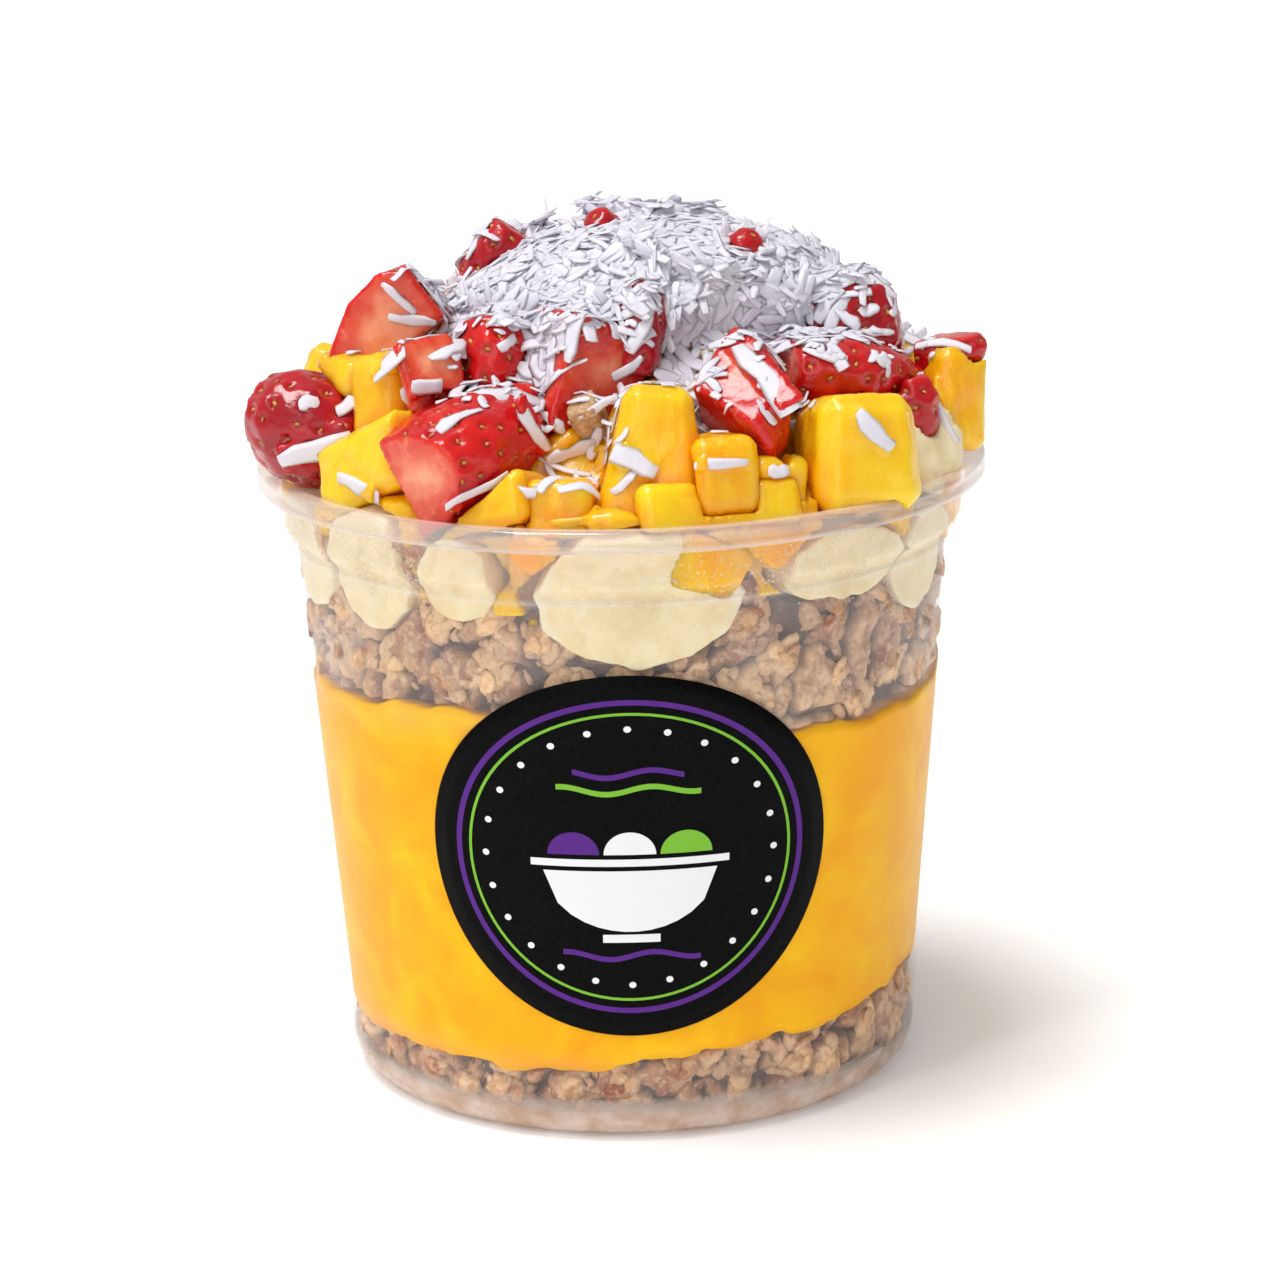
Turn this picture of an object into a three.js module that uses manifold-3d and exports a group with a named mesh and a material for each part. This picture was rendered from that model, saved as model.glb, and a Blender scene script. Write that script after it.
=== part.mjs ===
// A layered fruit and smoothie bowl in a clear round tub, in millimetres, +Z up.
// The origin is the centre of the tub's foot, the photographed front looks along -Y.
// From the floor up: granola, mango smoothie, granola, banana slices, then a heap of diced
// mango and strawberry above the rim with shredded coconut on top.
import * as THREE from 'three';
import { ConvexGeometry } from 'three/addons/geometries/ConvexGeometry.js';
import { mergeVertices } from 'three/addons/utils/BufferGeometryUtils.js';
import Module from 'manifold-3d';

const wasm = await Module();
wasm.setup();

const DEGREE = Math.PI / 180;
const GAP = 0.35; // clearance between neighbouring pieces
const SWELL = 0.62; // how far a piece is swollen before it presses its hollow into a neighbour
const LAYER_GAP = 0.15; // further clearance under a layer, and round the bed

// ---- driving dimensions -------------------------------------------------------------------

const TUB = {
  height: 101,
  rimRadius: 58.5,
  rimDepth: 3.5, // height of the rolled rim
  rimRound: 0.7,
  rimInside: 54.6,
  wall: 0.9,
  collarRadius: 55.1, // the straight band just under the rim
  collarFoot: 91.6,
  shoulderRadius: 53.2, // where the collar steps in to the tapered wall
  shoulderHeight: 89.2,
  beadRadius: 53.7, // small moulded line on the shoulder
  cornerRadius: 46.5, // where the wall starts to round in to the foot
  cornerHeight: 5.7,
  footRadius: 41.6,
  footWidth: 2,
  recess: 2.5, // how far the base is raised inside the foot ring
  floor: 3.5, // inside floor height
  segments: 36,
  keepOutSegments: 24, // of the space kept clear of fruit
  cornerSteps: 2,
};

const LABEL = {
  middle: 47.8, // height of the middle of the label
  halfWidth: 32.2, // measured round the wall
  halfHeight: 29.6,
  thickness: 0.3,
  spokes: 24,
  rings: 4,
};

// The surfaces between the layers: a mean height, and waves that grow from the axis to the wall.
// Each wave: [amplitude at the wall, lobes round the tub, phase in radians].
const LAYERS = {
  spokes: 26,
  smoothieFoot: { height: 15.2, waves: [[-4.8, 1, 0.9], [0.6, 6, -1.6]] },
  smoothieTop: { height: 66.3, waves: [[2.4, 1, 0.75], [-1.5, 3, -1.8], [0.5, 9, -1.6]] },
  granolaTop: { height: 87, waves: [[-1.5, 3, 0.4], [0.8, 7, -1.6]] },
};

// Lumps of granola pressed against the wall, as a depth inwards from it.
const LUMPS = {
  mean: 0.9,
  coarse: 0.9,
  coarseLobes: 9,
  coarseRows: 0.75, // radians per millimetre of height
  fine: 0.55,
  fineLobes: 17,
  fineRows: 0.9,
};

const HEAP = {
  peak: 127, // top of the mango bed under the coconut
  reach: 54,
  sideDrop: 14, // how far the bed falls from the peak to its reach, all round
  fallPower: 3,
  frontDrop: 18, // further fall towards the front
  frontFall: [16, 46], // between these radii
  backDrop: 12, // further fall towards the sides and the back
  backFall: [24, 48],
  edgeFall: [44, 55], // the bed rolls over to the rim between these radii
  edgeDrop: 9,
  dice: 1, // unevenness of the bed, outside the coconut
  diceLobes: 8,
  diceRings: 0.55, // radians per millimetre of radius
  lowest: 101.9,
  rings: 4,
};

const COCONUT = {
  centre: [6, 6],
  radius: 37.5,
  shortFront: 0.22, // the mound reaches less far to the front
  peak: 137,
  fall: 15, // from the peak to the edge of the mound
  fallPower: 3,
  margin: 2.2, // least cover over the bed
  rings: 3,
  spokes: 18,
  shreds: 18,
  length: [9, 18],
  width: [2.2, 3.6],
  tilt: [-9, 9], // degrees
  lift: [0, 0.7],
  thickness: 0.9,
  lobes: [[0.06, 3, 1], [0.05, 7, 0]], // of its outline: [share of the radius, lobes, phase]
  ripple: [0.6, 0.5, 0.4], // depth, then radians per millimetre along X and Y
};

const COLOURS = {
  tub: ['#e9e2dc', 0.25],
  label: ['#0b0a0c', 0.4],
  smoothie: ['#f7b528', 0.45],
  granola: ['#b98f6d', 0.85],
  mango: ['#ffc60f', 0.35],
  mangoBed: ['#f5b313', 0.4],
  banana: ['#e3d19a', 0.6],
  strawberry: ['#c8202c', 0.3],
  coconut: ['#e9e6ee', 0.7],
};

// ---- small helpers ------------------------------------------------------------------------

// A repeatable random number generator.
function seeded(seed) {
  let state = seed >>> 0;
  return () => {
    state = (state + 0x6d2b79f5) >>> 0;
    let mixed = Math.imul(state ^ (state >>> 15), state | 1);
    mixed ^= mixed + Math.imul(mixed ^ (mixed >>> 7), mixed | 61);
    return ((mixed ^ (mixed >>> 14)) >>> 0) / 4294967296;
  };
}

const between = (random, [low, high]) => low + (high - low) * random();

// Straight-line interpolation through [position, value] pairs.
function follow(pairs, position) {
  const after = pairs.findIndex(([at]) => at >= position);
  if (after === 0) return pairs[0][1];
  if (after < 0) return pairs[pairs.length - 1][1];
  const [fromAt, fromValue] = pairs[after - 1];
  const [toAt, toValue] = pairs[after];
  return fromValue + ((toValue - fromValue) * (position - fromAt)) / (toAt - fromAt);
}

// Azimuth 0 is the front (-Y), and grows towards +X.
const aside = (azimuth, radius) => [radius * Math.sin(azimuth), -radius * Math.cos(azimuth)];

function bare(geometry) {
  const copy = geometry.clone();
  copy.deleteAttribute('normal');
  copy.deleteAttribute('uv');
  return mergeVertices(copy, 1e-4);
}

function toSolid(geometry) {
  const merged = bare(geometry);
  const corners = [];
  for (let i = 0; i < merged.index.count; i += 3) {
    const [a, b, c] = [0, 1, 2].map((step) => merged.index.getX(i + step));
    if (a !== b && b !== c && c !== a) corners.push(a, b, c);
  }
  return fromTriangles(merged.attributes.position.array, corners);
}

function toGeometry(solid) {
  const mesh = solid.getMesh();
  const geometry = new THREE.BufferGeometry();
  geometry.setAttribute('position', new THREE.BufferAttribute(mesh.vertProperties, 3));
  geometry.setIndex(new THREE.BufferAttribute(mesh.triVerts, 1));
  geometry.computeVertexNormals();
  return geometry;
}

// The largest connected body, without loose scraps or sealed hollows.
function mainBody(solid) {
  const { vertProperties, triVerts } = solid.getMesh();
  const parent = Array.from({ length: vertProperties.length / 3 }, (_, i) => i);
  const rootOf = (vertex) => {
    let root = vertex;
    while (parent[root] !== root) root = parent[root];
    parent[vertex] = root;
    return root;
  };
  const corner = (i) => new THREE.Vector3(...vertProperties.subarray(3 * i, 3 * i + 3));
  const faces = [];
  for (let i = 0; i < triVerts.length; i += 3) faces.push([...triVerts.subarray(i, i + 3)]);
  for (const [a, b, c] of faces) {
    parent[rootOf(b)] = rootOf(a);
    parent[rootOf(c)] = rootOf(a);
  }
  const volumes = new Map();
  for (const [a, b, c] of faces) {
    const volume = corner(a).dot(corner(b).cross(corner(c))) / 6;
    volumes.set(rootOf(a), (volumes.get(rootOf(a)) ?? 0) + volume);
  }
  const [largest] = [...volumes].reduce((best, entry) => (entry[1] > best[1] ? entry : best));
  const kept = faces.filter(([a]) => rootOf(a) === largest);
  return fromTriangles(vertProperties, kept.flat());
}

// A solid from shared corner positions and triangles, without the corners that no face uses.
function fromTriangles(positions, corners) {
  const used = new Map();
  const vertices = [];
  const triangles = corners.map((corner) => {
    if (!used.has(corner)) {
      used.set(corner, vertices.length / 3);
      vertices.push(...positions.subarray(3 * corner, 3 * corner + 3));
    }
    return used.get(corner);
  });
  return new wasm.Manifold(
    new wasm.Mesh({
      numProp: 3,
      vertProperties: Float32Array.from(vertices),
      triVerts: Uint32Array.from(triangles),
    }),
  );
}

const hull = (points) => new ConvexGeometry(points);

// The same convex body with every corner pushed outwards.
function swollen(points, amount) {
  const merged = bare(hull(points));
  merged.computeVertexNormals();
  const { position, normal } = merged.attributes;
  const moved = [];
  for (let i = 0; i < position.count; i += 1) {
    const point = new THREE.Vector3().fromBufferAttribute(position, i);
    const outward = new THREE.Vector3().fromBufferAttribute(normal, i);
    moved.push(point.addScaledVector(outward, amount));
  }
  return toSolid(hull(moved));
}

// A piece's own frame: its face looks along -Y, its top along +Z. The turn is the azimuth and
// elevation that the face looks to, and the roll about that line, in degrees.
function frameOf(at, [azimuth, elevation, roll]) {
  const turn = new THREE.Euler(-elevation * DEGREE, roll * DEGREE, azimuth * DEGREE, 'ZXY');
  const rotation = new THREE.Quaternion().setFromEuler(turn);
  return new THREE.Matrix4().compose(new THREE.Vector3(...at), rotation, new THREE.Vector3(1, 1, 1));
}

// ---- the tub ------------------------------------------------------------------------------

// Quarter-ellipse points from the wall round to the foot.
function cornerPoints(radius, height, foot, base) {
  const points = [];
  for (let step = 0; step <= TUB.cornerSteps; step += 1) {
    const angle = (step / TUB.cornerSteps) * 90 * DEGREE;
    const across = foot + (radius - foot) * Math.cos(angle);
    points.push([across, height - (height - base) * Math.sin(angle)]);
  }
  return points;
}

// Inside of the tub as [height, radius] pairs, from the floor to the top of the rim.
const INSIDE = (() => {
  const floorRadius = TUB.footRadius - TUB.footWidth / 2;
  const cornerTop = TUB.cornerHeight + 1.4;
  const wallFoot = TUB.cornerRadius - TUB.wall;
  const corner = cornerPoints(wallFoot, cornerTop, floorRadius, TUB.floor).reverse();
  return [
    ...corner.map(([radius, height]) => [height, radius]),
    [TUB.shoulderHeight + 0.3, TUB.shoulderRadius - TUB.wall],
    [TUB.collarFoot + 0.2, TUB.collarRadius - TUB.wall],
    [TUB.height - 1.2, TUB.collarRadius - TUB.wall],
    [TUB.height, TUB.rimInside + TUB.rimRound],
  ];
})();

const insideRadius = (height) => follow(INSIDE, height);

function outsideRadius(height) {
  const wall = [
    [TUB.cornerHeight, TUB.cornerRadius],
    [TUB.shoulderHeight, TUB.shoulderRadius],
  ];
  return follow(wall, height);
}

// A profile of [radius, height] points turned about the Z axis.
function turned(profile, segments = TUB.segments) {
  const points = profile.map((point) => new THREE.Vector2(...point));
  return new THREE.LatheGeometry(points, segments).rotateX(90 * DEGREE);
}

function tubGeometry() {
  const rimFoot = TUB.height - TUB.rimDepth;
  const groove = TUB.height - TUB.rimDepth / 2;
  const outside = [
    ...cornerPoints(TUB.cornerRadius, TUB.cornerHeight, TUB.footRadius, 0).reverse(),
    [outsideRadius(TUB.shoulderHeight - 1.6), TUB.shoulderHeight - 1.6],
    [TUB.beadRadius, TUB.shoulderHeight - 0.8],
    [TUB.beadRadius, TUB.shoulderHeight - 0.1],
    [TUB.shoulderRadius + 0.2, TUB.shoulderHeight + 0.5],
    [TUB.collarRadius, TUB.collarFoot],
    [TUB.collarRadius + 0.2, rimFoot],
    [TUB.rimRadius - TUB.rimRound, rimFoot],
    [TUB.rimRadius, rimFoot + TUB.rimRound],
    [TUB.rimRadius - 0.35, groove],
    [TUB.rimRadius, TUB.height - TUB.rimRound],
    [TUB.rimRadius - TUB.rimRound, TUB.height],
  ];
  const inside = INSIDE.map(([height, radius]) => [radius, height]).reverse();
  const ringInside = TUB.footRadius - TUB.footWidth;
  const base = [[0, TUB.floor], [0, TUB.recess], [ringInside - 0.6, TUB.recess], [ringInside, 0]];
  const profile = [...base.slice(1), ...outside, ...inside, base[0]];
  return turned(profile);
}

// The space that the wall and rim take, grown by the gap, which fruit is cut back from.
function tubKeepOut() {
  const floor = LAYERS.smoothieTop.height;
  const outer = TUB.rimRadius + GAP;
  const higher = INSIDE.filter(([height]) => height > floor);
  const inner = [[floor, insideRadius(floor)], ...higher.slice(0, -1)];
  const top = TUB.height + GAP;
  const profile = [
    [outer, floor],
    [outer, top],
    [TUB.rimInside + TUB.rimRound - GAP, top],
    ...inner.reverse().map(([height, radius]) => [radius - GAP, height]),
    [outer, floor],
  ];
  return toSolid(turned(profile, TUB.keepOutSegments));
}

// A thin oval sheet wrapped on the front of the wall.
function labelGeometry() {
  const positions = [];
  const corners = [];
  const perFace = 1 + LABEL.rings * LABEL.spokes;
  for (const lift of [GAP + LABEL.thickness, GAP]) {
    for (let ring = 0; ring <= LABEL.rings; ring += 1) {
      for (let spoke = 0; spoke < (ring ? LABEL.spokes : 1); spoke += 1) {
        const angle = (spoke / LABEL.spokes) * 360 * DEGREE;
        const share = ring / LABEL.rings;
        const height = LABEL.middle + share * LABEL.halfHeight * Math.sin(angle);
        const azimuth = (share * LABEL.halfWidth * Math.cos(angle)) / outsideRadius(LABEL.middle);
        positions.push(...aside(azimuth, outsideRadius(height) + lift), height);
      }
    }
  }
  const at = (face, ring, spoke) =>
    face * perFace + (ring ? 1 + (ring - 1) * LABEL.spokes + (spoke % LABEL.spokes) : 0);
  const quad = (a, b, c, d) => corners.push(a, b, c, a, c, d);
  for (let spoke = 0; spoke < LABEL.spokes; spoke += 1) {
    corners.push(at(0, 0, 0), at(0, 1, spoke), at(0, 1, spoke + 1));
    corners.push(at(1, 0, 0), at(1, 1, spoke + 1), at(1, 1, spoke));
    for (let ring = 1; ring < LABEL.rings; ring += 1) {
      const next = ring + 1;
      quad(at(0, ring, spoke), at(0, next, spoke), at(0, next, spoke + 1), at(0, ring, spoke + 1));
      quad(at(1, ring, spoke), at(1, ring, spoke + 1), at(1, next, spoke + 1), at(1, next, spoke));
    }
    const edge = LABEL.rings;
    quad(at(0, edge, spoke), at(1, edge, spoke), at(1, edge, spoke + 1), at(0, edge, spoke + 1));
  }
  return indexed(positions, corners);
}

function indexed(positions, corners) {
  const geometry = new THREE.BufferGeometry();
  geometry.setAttribute('position', new THREE.Float32BufferAttribute(positions, 3));
  geometry.setIndex(corners);
  geometry.computeVertexNormals();
  return geometry;
}

// ---- the layers in the tub ----------------------------------------------------------------

const waving = (waves, angle) =>
  waves.reduce((sum, [depth, lobes, phase]) => sum + depth * Math.cos(lobes * angle + phase), 0);

// The height of a surface between layers. Share runs from 0 on the axis to 1 at the wall.
const surfaceOf = ({ height, waves }) => (share, azimuth) => height + share * waving(waves, azimuth);
const smoothieFoot = surfaceOf(LAYERS.smoothieFoot);
const smoothieTop = surfaceOf(LAYERS.smoothieTop);
const granolaTop = surfaceOf(LAYERS.granolaTop);

function lumps(azimuth, height) {
  const { mean, coarse, coarseLobes, coarseRows, fine, fineLobes, fineRows } = LUMPS;
  const across = Math.sin(coarseLobes * azimuth + coarseRows * height);
  const large = coarse * across * Math.cos(coarseRows * height);
  const small = fine * Math.sin(fineLobes * azimuth - fineRows * height);
  return Math.max(0, mean + large + small);
}

const smooth = () => 0;
const above = (surface) => (share, azimuth) => surface(share, azimuth) + GAP + LAYER_GAP;

// A layer between two surfaces, filling the tub out to its wall. Its underside runs straight from
// the axis to the wall.
function layerGeometry({ bottom, top, rings = 1, rows = 1, relief = smooth, clear = GAP }) {
  const positions = [];
  const corners = [];
  const { spokes } = LAYERS;
  const rim = (height) => insideRadius(Math.min(height, TUB.height - 1.5)) - clear;
  const sheet = (surface, count) => {
    const start = positions.length / 3;
    positions.push(0, 0, surface(0, 0));
    for (let ring = 1; ring <= count; ring += 1) {
      for (let spoke = 0; spoke < spokes; spoke += 1) {
        const azimuth = (spoke / spokes) * 360 * DEGREE;
        const share = ring / count;
        const radius = share * rim(surface(1, azimuth));
        positions.push(...aside(azimuth, radius), surface(share, azimuth));
      }
    }
    return (ring, spoke) => start + (ring ? 1 + (ring - 1) * spokes + (spoke % spokes) : 0);
  };
  const low = sheet(bottom, 1);
  const high = sheet(top, rings);
  const sideStart = positions.length / 3;
  for (let row = 1; row < rows; row += 1) {
    for (let spoke = 0; spoke < spokes; spoke += 1) {
      const azimuth = (spoke / spokes) * 360 * DEGREE;
      const [from, to] = [bottom(1, azimuth), top(1, azimuth)];
      const height = from + ((to - from) * row) / rows;
      positions.push(...aside(azimuth, rim(height) - relief(azimuth, height)), height);
    }
  }
  const side = (row, spoke) => {
    if (row === 0) return low(1, spoke);
    if (row === rows) return high(rings, spoke);
    return sideStart + (row - 1) * spokes + (spoke % spokes);
  };
  for (let spoke = 0; spoke < spokes; spoke += 1) {
    const next = spoke + 1;
    corners.push(high(0, 0), high(1, spoke), high(1, next));
    corners.push(low(0, 0), low(1, next), low(1, spoke));
    for (let ring = 1; ring < rings; ring += 1) {
      corners.push(high(ring, spoke), high(ring + 1, spoke), high(ring + 1, next));
      corners.push(high(ring, spoke), high(ring + 1, next), high(ring, next));
    }
    for (let row = 0; row < rows; row += 1) {
      corners.push(side(row, spoke), side(row, next), side(row + 1, next));
      corners.push(side(row, spoke), side(row + 1, next), side(row + 1, spoke));
    }
  }
  return indexed(positions, corners);
}

// ---- the heap above them ------------------------------------------------------------------

// Top of the mango bed at a distance from the axis.
function bedHeight(radius, azimuth) {
  const { smoothstep } = THREE.MathUtils;
  const front = Math.max(0, Math.cos(azimuth)) ** 2;
  const side = HEAP.sideDrop * (radius / HEAP.reach) ** HEAP.fallPower;
  const frontFall = HEAP.frontDrop * front * smoothstep(radius, ...HEAP.frontFall);
  const backFall = HEAP.backDrop * (1 - front) * smoothstep(radius, ...HEAP.backFall);
  const edge = HEAP.edgeDrop * smoothstep(radius, ...HEAP.edgeFall);
  const uneven = HEAP.dice * smoothstep(radius, COCONUT.radius, HEAP.edgeFall[0]);
  const dice = uneven * Math.sin(HEAP.diceRings * radius) * Math.sin(HEAP.diceLobes * azimuth);
  return Math.max(HEAP.lowest, HEAP.peak - side - frontFall - backFall - edge + dice);
}

function bedSolid(growth) {
  const geometry = layerGeometry({
    bottom: above(granolaTop),
    top: (share, azimuth) => bedHeight(share * HEAP.reach, azimuth) + growth,
    rings: HEAP.rings,
    clear: GAP + LAYER_GAP,
  });
  return toSolid(geometry);
}

// ---- forms of the cut fruit, in each piece's own frame --------------------------------------

// Each form also has a plain version of few faces, which holds the whole piece and is what
// presses a hollow into the bed, the granola and the coconut.

const DICE = {
  uneven: [0.89, 1], // each corner's share of the full size
  bevel: 0.13, // share of the least side that is broken off the edges
};

// A diced block with broken edges. The taper narrows its top, and the lean shifts it.
function blockPoints([width, depth, height], seed, { taper = 1, lean = 0 } = {}, plain = false) {
  const random = seeded(seed);
  const bevel = plain ? 0 : Math.min(width, depth, height) * DICE.bevel;
  const corner = (size) => (size * between(random, DICE.uneven)) / 2;
  const points = [];
  for (const sx of [-1, 1]) {
    for (const sy of [-1, 1]) {
      for (const sz of [-1, 1]) {
        const narrow = sz > 0 ? taper : 1;
        const x = sx * corner(width * narrow) + (sz * lean) / 2;
        const y = sy * corner(depth);
        const z = sz * corner(height);
        points.push([x, y - sy * bevel, z - sz * bevel]);
        points.push([x - sx * bevel, y, z - sz * bevel]);
        points.push([x - sx * bevel, y - sy * bevel, z]);
      }
    }
  }
  return points.map((point) => new THREE.Vector3(...point));
}

// Berry outline: radius against the distance from the cut shoulder (0) to the tip (1).
const BERRY = [[0, 0.86], [0.2, 1], [0.5, 0.92], [0.8, 0.55], [1, 0.1]];
const PLAIN_BERRY = [[0, 1], [0.35, 1.1], [1, 0.35]];
const BERRY_STEP = 22.5; // degrees round the skin between points
const PLAIN_STEP = 60;

// Part of a strawberry: a sector of the given arc with skin towards -Y and its tip down, cut off
// at the given share of its length.
function berryPoints([width, depth, height], seed, { arc = 180, tip = 1 } = {}, plain = false) {
  const outline = plain ? PLAIN_BERRY : BERRY;
  const steps = Math.round(arc / (plain ? PLAIN_STEP : BERRY_STEP));
  const holding = plain ? 1 / Math.cos((arc * DEGREE) / steps / 2) : 1;
  const points = [];
  const heights = [...outline.map(([at]) => at).filter((at) => at < tip), tip];
  for (const at of heights) {
    const radius = follow(outline, at) * holding;
    points.push([0, 0, -at]);
    for (let step = 0; step <= steps; step += 1) {
      const angle = (step / steps - 0.5) * arc * DEGREE;
      points.push([...aside(angle, radius), -at]);
    }
  }
  const across = arc < 180 ? 2 * Math.sin((arc * DEGREE) / 2) : 2;
  const scale = new THREE.Vector3(width / across, depth, height / tip);
  const middle = new THREE.Vector3(0, -0.5, -tip / 2);
  return points.map((point) => new THREE.Vector3(...point).sub(middle).multiply(scale));
}

const SLICE_STEPS = 12;
const PLAIN_SLICE_STEPS = 6;
const SLICE_FACE = 0.92; // the cut faces are this much smaller than the middle of the slice

// A banana slice: an oval disc with its cut face towards -Y and a rounded edge.
function slicePoints([width, depth, height], seed, shape, plain = false) {
  const points = [];
  const steps = plain ? PLAIN_SLICE_STEPS : SLICE_STEPS;
  const holding = plain ? 1 / Math.cos((180 * DEGREE) / steps) : 1;
  const rings = plain ? [[0.5, 1], [-0.5, 1]] : [[0.5, SLICE_FACE], [0, 1], [-0.5, SLICE_FACE]];
  for (const [across, inwards] of rings) {
    for (let step = 0; step < steps; step += 1) {
      const angle = (step / steps) * 360 * DEGREE;
      const x = (width / 2) * inwards * holding * Math.cos(angle);
      const z = (height / 2) * inwards * holding * Math.sin(angle);
      points.push(new THREE.Vector3(x, depth * across, z));
    }
  }
  return points;
}

// ---- where the fruit lies -------------------------------------------------------------------

// Each row: middle of the piece, its size [across, deep, high] before turning, and its turn.
// Earlier rows keep their whole form, and later ones are pressed in where they touch.
const HALF = { arc: 180 };
const QUARTER = { arc: 100 };
const CHUNK = { arc: 120, tip: 0.6 };
const WALL_LEAN = -5; // elevation in degrees of a slice that lies flat on the tapered wall

const BERRIES = [
  [[-18.5, -36, 111], [18, 15, 31], [44, 26, -102], { arc: 180, tip: 0.85 }],
  [[19.8, -32, 112], [23, 14, 21], [90, 12, -38], QUARTER],
  [[-6.8, -27.5, 118.2], [21, 16, 18], [168, -18, -14], QUARTER],
  [[-46.8, -22, 110.8], [18, 14, 21], [-30, 30, -84], HALF],
  [[-36.7, -13.5, 124], [17, 11, 18], [-153, 31, -46], { arc: 100, tip: 0.85 }],
  [[38, -22, 116.8], [13, 13, 24], [18, 12, -84], HALF],
  [[38, -7.5, 116.5], [24, 18, 26], [58, 30, 10], HALF],
  [[-29.2, -28.5, 117.3], [12, 12, 14], [150, -8, 22], QUARTER],
  [[-19.4, -23.5, 121], [12, 12, 11], [8, 22, 0], CHUNK],
  [[3, -25.5, 125], [8, 9, 14], [0, 25, 4], CHUNK],
  [[53.6, -9, 116.2], [11, 10, 7], [62, 8, 0], HALF],
  [[45.7, -21, 111], [8, 8, 9], [58, 10, 0], CHUNK],
  [[-20, 8, 130.5], [9.5, 10, 11.5], [-25, 20, 30], CHUNK],
  [[-2.5, 7, 135.6], [6, 6, 5], [0, 50, 20], CHUNK],
  [[20, -5, 134], [6, 6, 4.5], [20, 45, 70], CHUNK],
];

const MANGOES = [
  [[4.9, -42, 108.2], [17, 12, 23], [4, 17, 2], { taper: 0.62, lean: 1.5 }],
  [[35.7, -35, 107.3], [17, 16, 18], [20, 10, 2], { taper: 0.95 }],
  [[-35.8, -30.5, 106], [23, 13, 12], [-48, 12, -26]],
  [[51.7, -12.5, 110.8], [9.5, 9, 16], [38, 6, 10], { taper: 1.05 }],
  [[-34.8, -24.5, 113.6], [9, 12, 15], [-32, 14, -8]],
  [[-42.5, -16.5, 112.8], [12, 12, 15], [-44, 24, 10], { taper: 0.85 }],
  [[-20.6, -43.3, 102.2], [17, 13, 9], [-22, 18, -12]],
  [[-9.3, -46.3, 102], [10, 10, 9], [-8, 12, 0]],
  [[14.8, -46, 106.5], [9.5, 8.5, 12], [16, 8, 0]],
  [[12, -49, 94], [10.5, 7, 8], [14, 0, 24]],
  [[14, -46.5, 101.6], [26, 9, 7], [16, 24, 2]],
  [[23, -43, 104.5], [8.5, 7, 8], [26, 8, 6]],
];

const BANANAS = [
  [[2, -48.4, 89.5], [31, 9, 22], [2, WALL_LEAN, 0]],
  [[-36, -32.4, 91.3], [18, 9, 20], [-47, WALL_LEAN, 8]],
  [[31, -37, 91.6], [24, 9, 12], [41, WALL_LEAN, 0]],
  [[44, -23.3, 88.8], [17, 9, 17], [63, WALL_LEAN, 0]],
  [[46.6, -20.8, 105], [13, 7, 15], [48, 12, -6]],
  [[-24, -44, 91.4], [12, 9, 13], [-26, WALL_LEAN, -10]],
  [[-46, -16.5, 90.5], [19, 8, 19], [-71, WALL_LEAN, 0]],
];

// The unseen back carries the same fruit, laid in rings by a rule.
const BACK = {
  from: 86,
  to: 262,
  low: { count: 9, radius: 45.5, height: 108.5 },
  high: { count: 6, radius: 36, height: 119 },
  banana: { count: 3, radius: 47.5, height: 90.5 },
  block: [15, 14, 14],
  berry: [15, 14, 16],
  slice: [24, 9, 17],
  sizes: [0.86, 1.12], // share of those sizes
  swing: [-25, 25], // degrees
  nod: [0, 25],
  roll: [-35, 35],
};

function backRing({ count, radius, height }, pick) {
  const rows = [];
  for (let i = 0; i < count; i += 1) {
    const azimuth = BACK.from + ((BACK.to - BACK.from) * (i + 0.5)) / count;
    rows.push(pick(i, [...aside(azimuth * DEGREE, radius), height], azimuth));
  }
  return rows;
}

const backRandom = seeded(7);
const vary = (size) => size * between(backRandom, BACK.sizes);
const turnBy = (azimuth) => [
  azimuth + between(backRandom, BACK.swing),
  between(backRandom, BACK.nod),
  between(backRandom, BACK.roll),
];

const backBlock = (i, at, azimuth) => [at, BACK.block.map(vary), turnBy(azimuth)];
const backBerry = (i, at, azimuth) => [
  at,
  BACK.berry.map(vary),
  turnBy(azimuth + (i % 3) * 60),
  [HALF, QUARTER, CHUNK][i % 3],
];
const backSlice = (i, at, azimuth) => [at, BACK.slice.map(vary), [azimuth, WALL_LEAN, 0]];

const lowBack = backRing(BACK.low, (i, ...rest) => (i % 2 ? backBerry : backBlock)(i, ...rest));
const highBack = backRing(BACK.high, (i, ...rest) => (i % 2 ? backBlock : backBerry)(i, ...rest));
const isBerry = (row) => row.length > 3;

// Large coconut flakes lying loose on the fruit, dropped along +Y at [x, z] onto whatever lies
// there. Each row: where, its [length, width] and its spin in degrees, up to the right.
const FLAKES = [
  [[-47, 108], [12, 4.4], 20],
  [[-35, 121.5], [6, 4], 30],
  [[-18, 117.5], [11, 2.8], 3],
  [[-13.5, 113.5], [9.5, 2.2], -62],
  [[-22, 106], [10, 2.4], 35],
  [[-40.5, 104], [8.4, 2.3], -12],
  [[2, 109.5], [6.8, 3.2], -25],
  [[15, 109.5], [7.5, 1.6], 0],
  [[22, 120.5], [15, 4], -48],
  [[38, 112], [7.5, 2.6], -50],
  [[50, 111], [12, 2], -65],
];
const FLAKE_THICKNESS = 0.9;

// Small granola lumps caught between the front pieces of fruit.
const CRUMBS = {
  at: [-5, -35, 113.5],
  core: [7, 5, 4.5], // width, depth and height of the middle lump
  lump: [4, 2.8, 2.4],
  count: 4,
  reach: 2.8, // from the middle to the other lumps
  rise: [-1.6, 2.2],
};

// ---- building -----------------------------------------------------------------------------

const nodes = [];
const pressed = []; // { box, solid }: swollen bodies that later pieces give way to
const keepOut = tubKeepOut();

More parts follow.
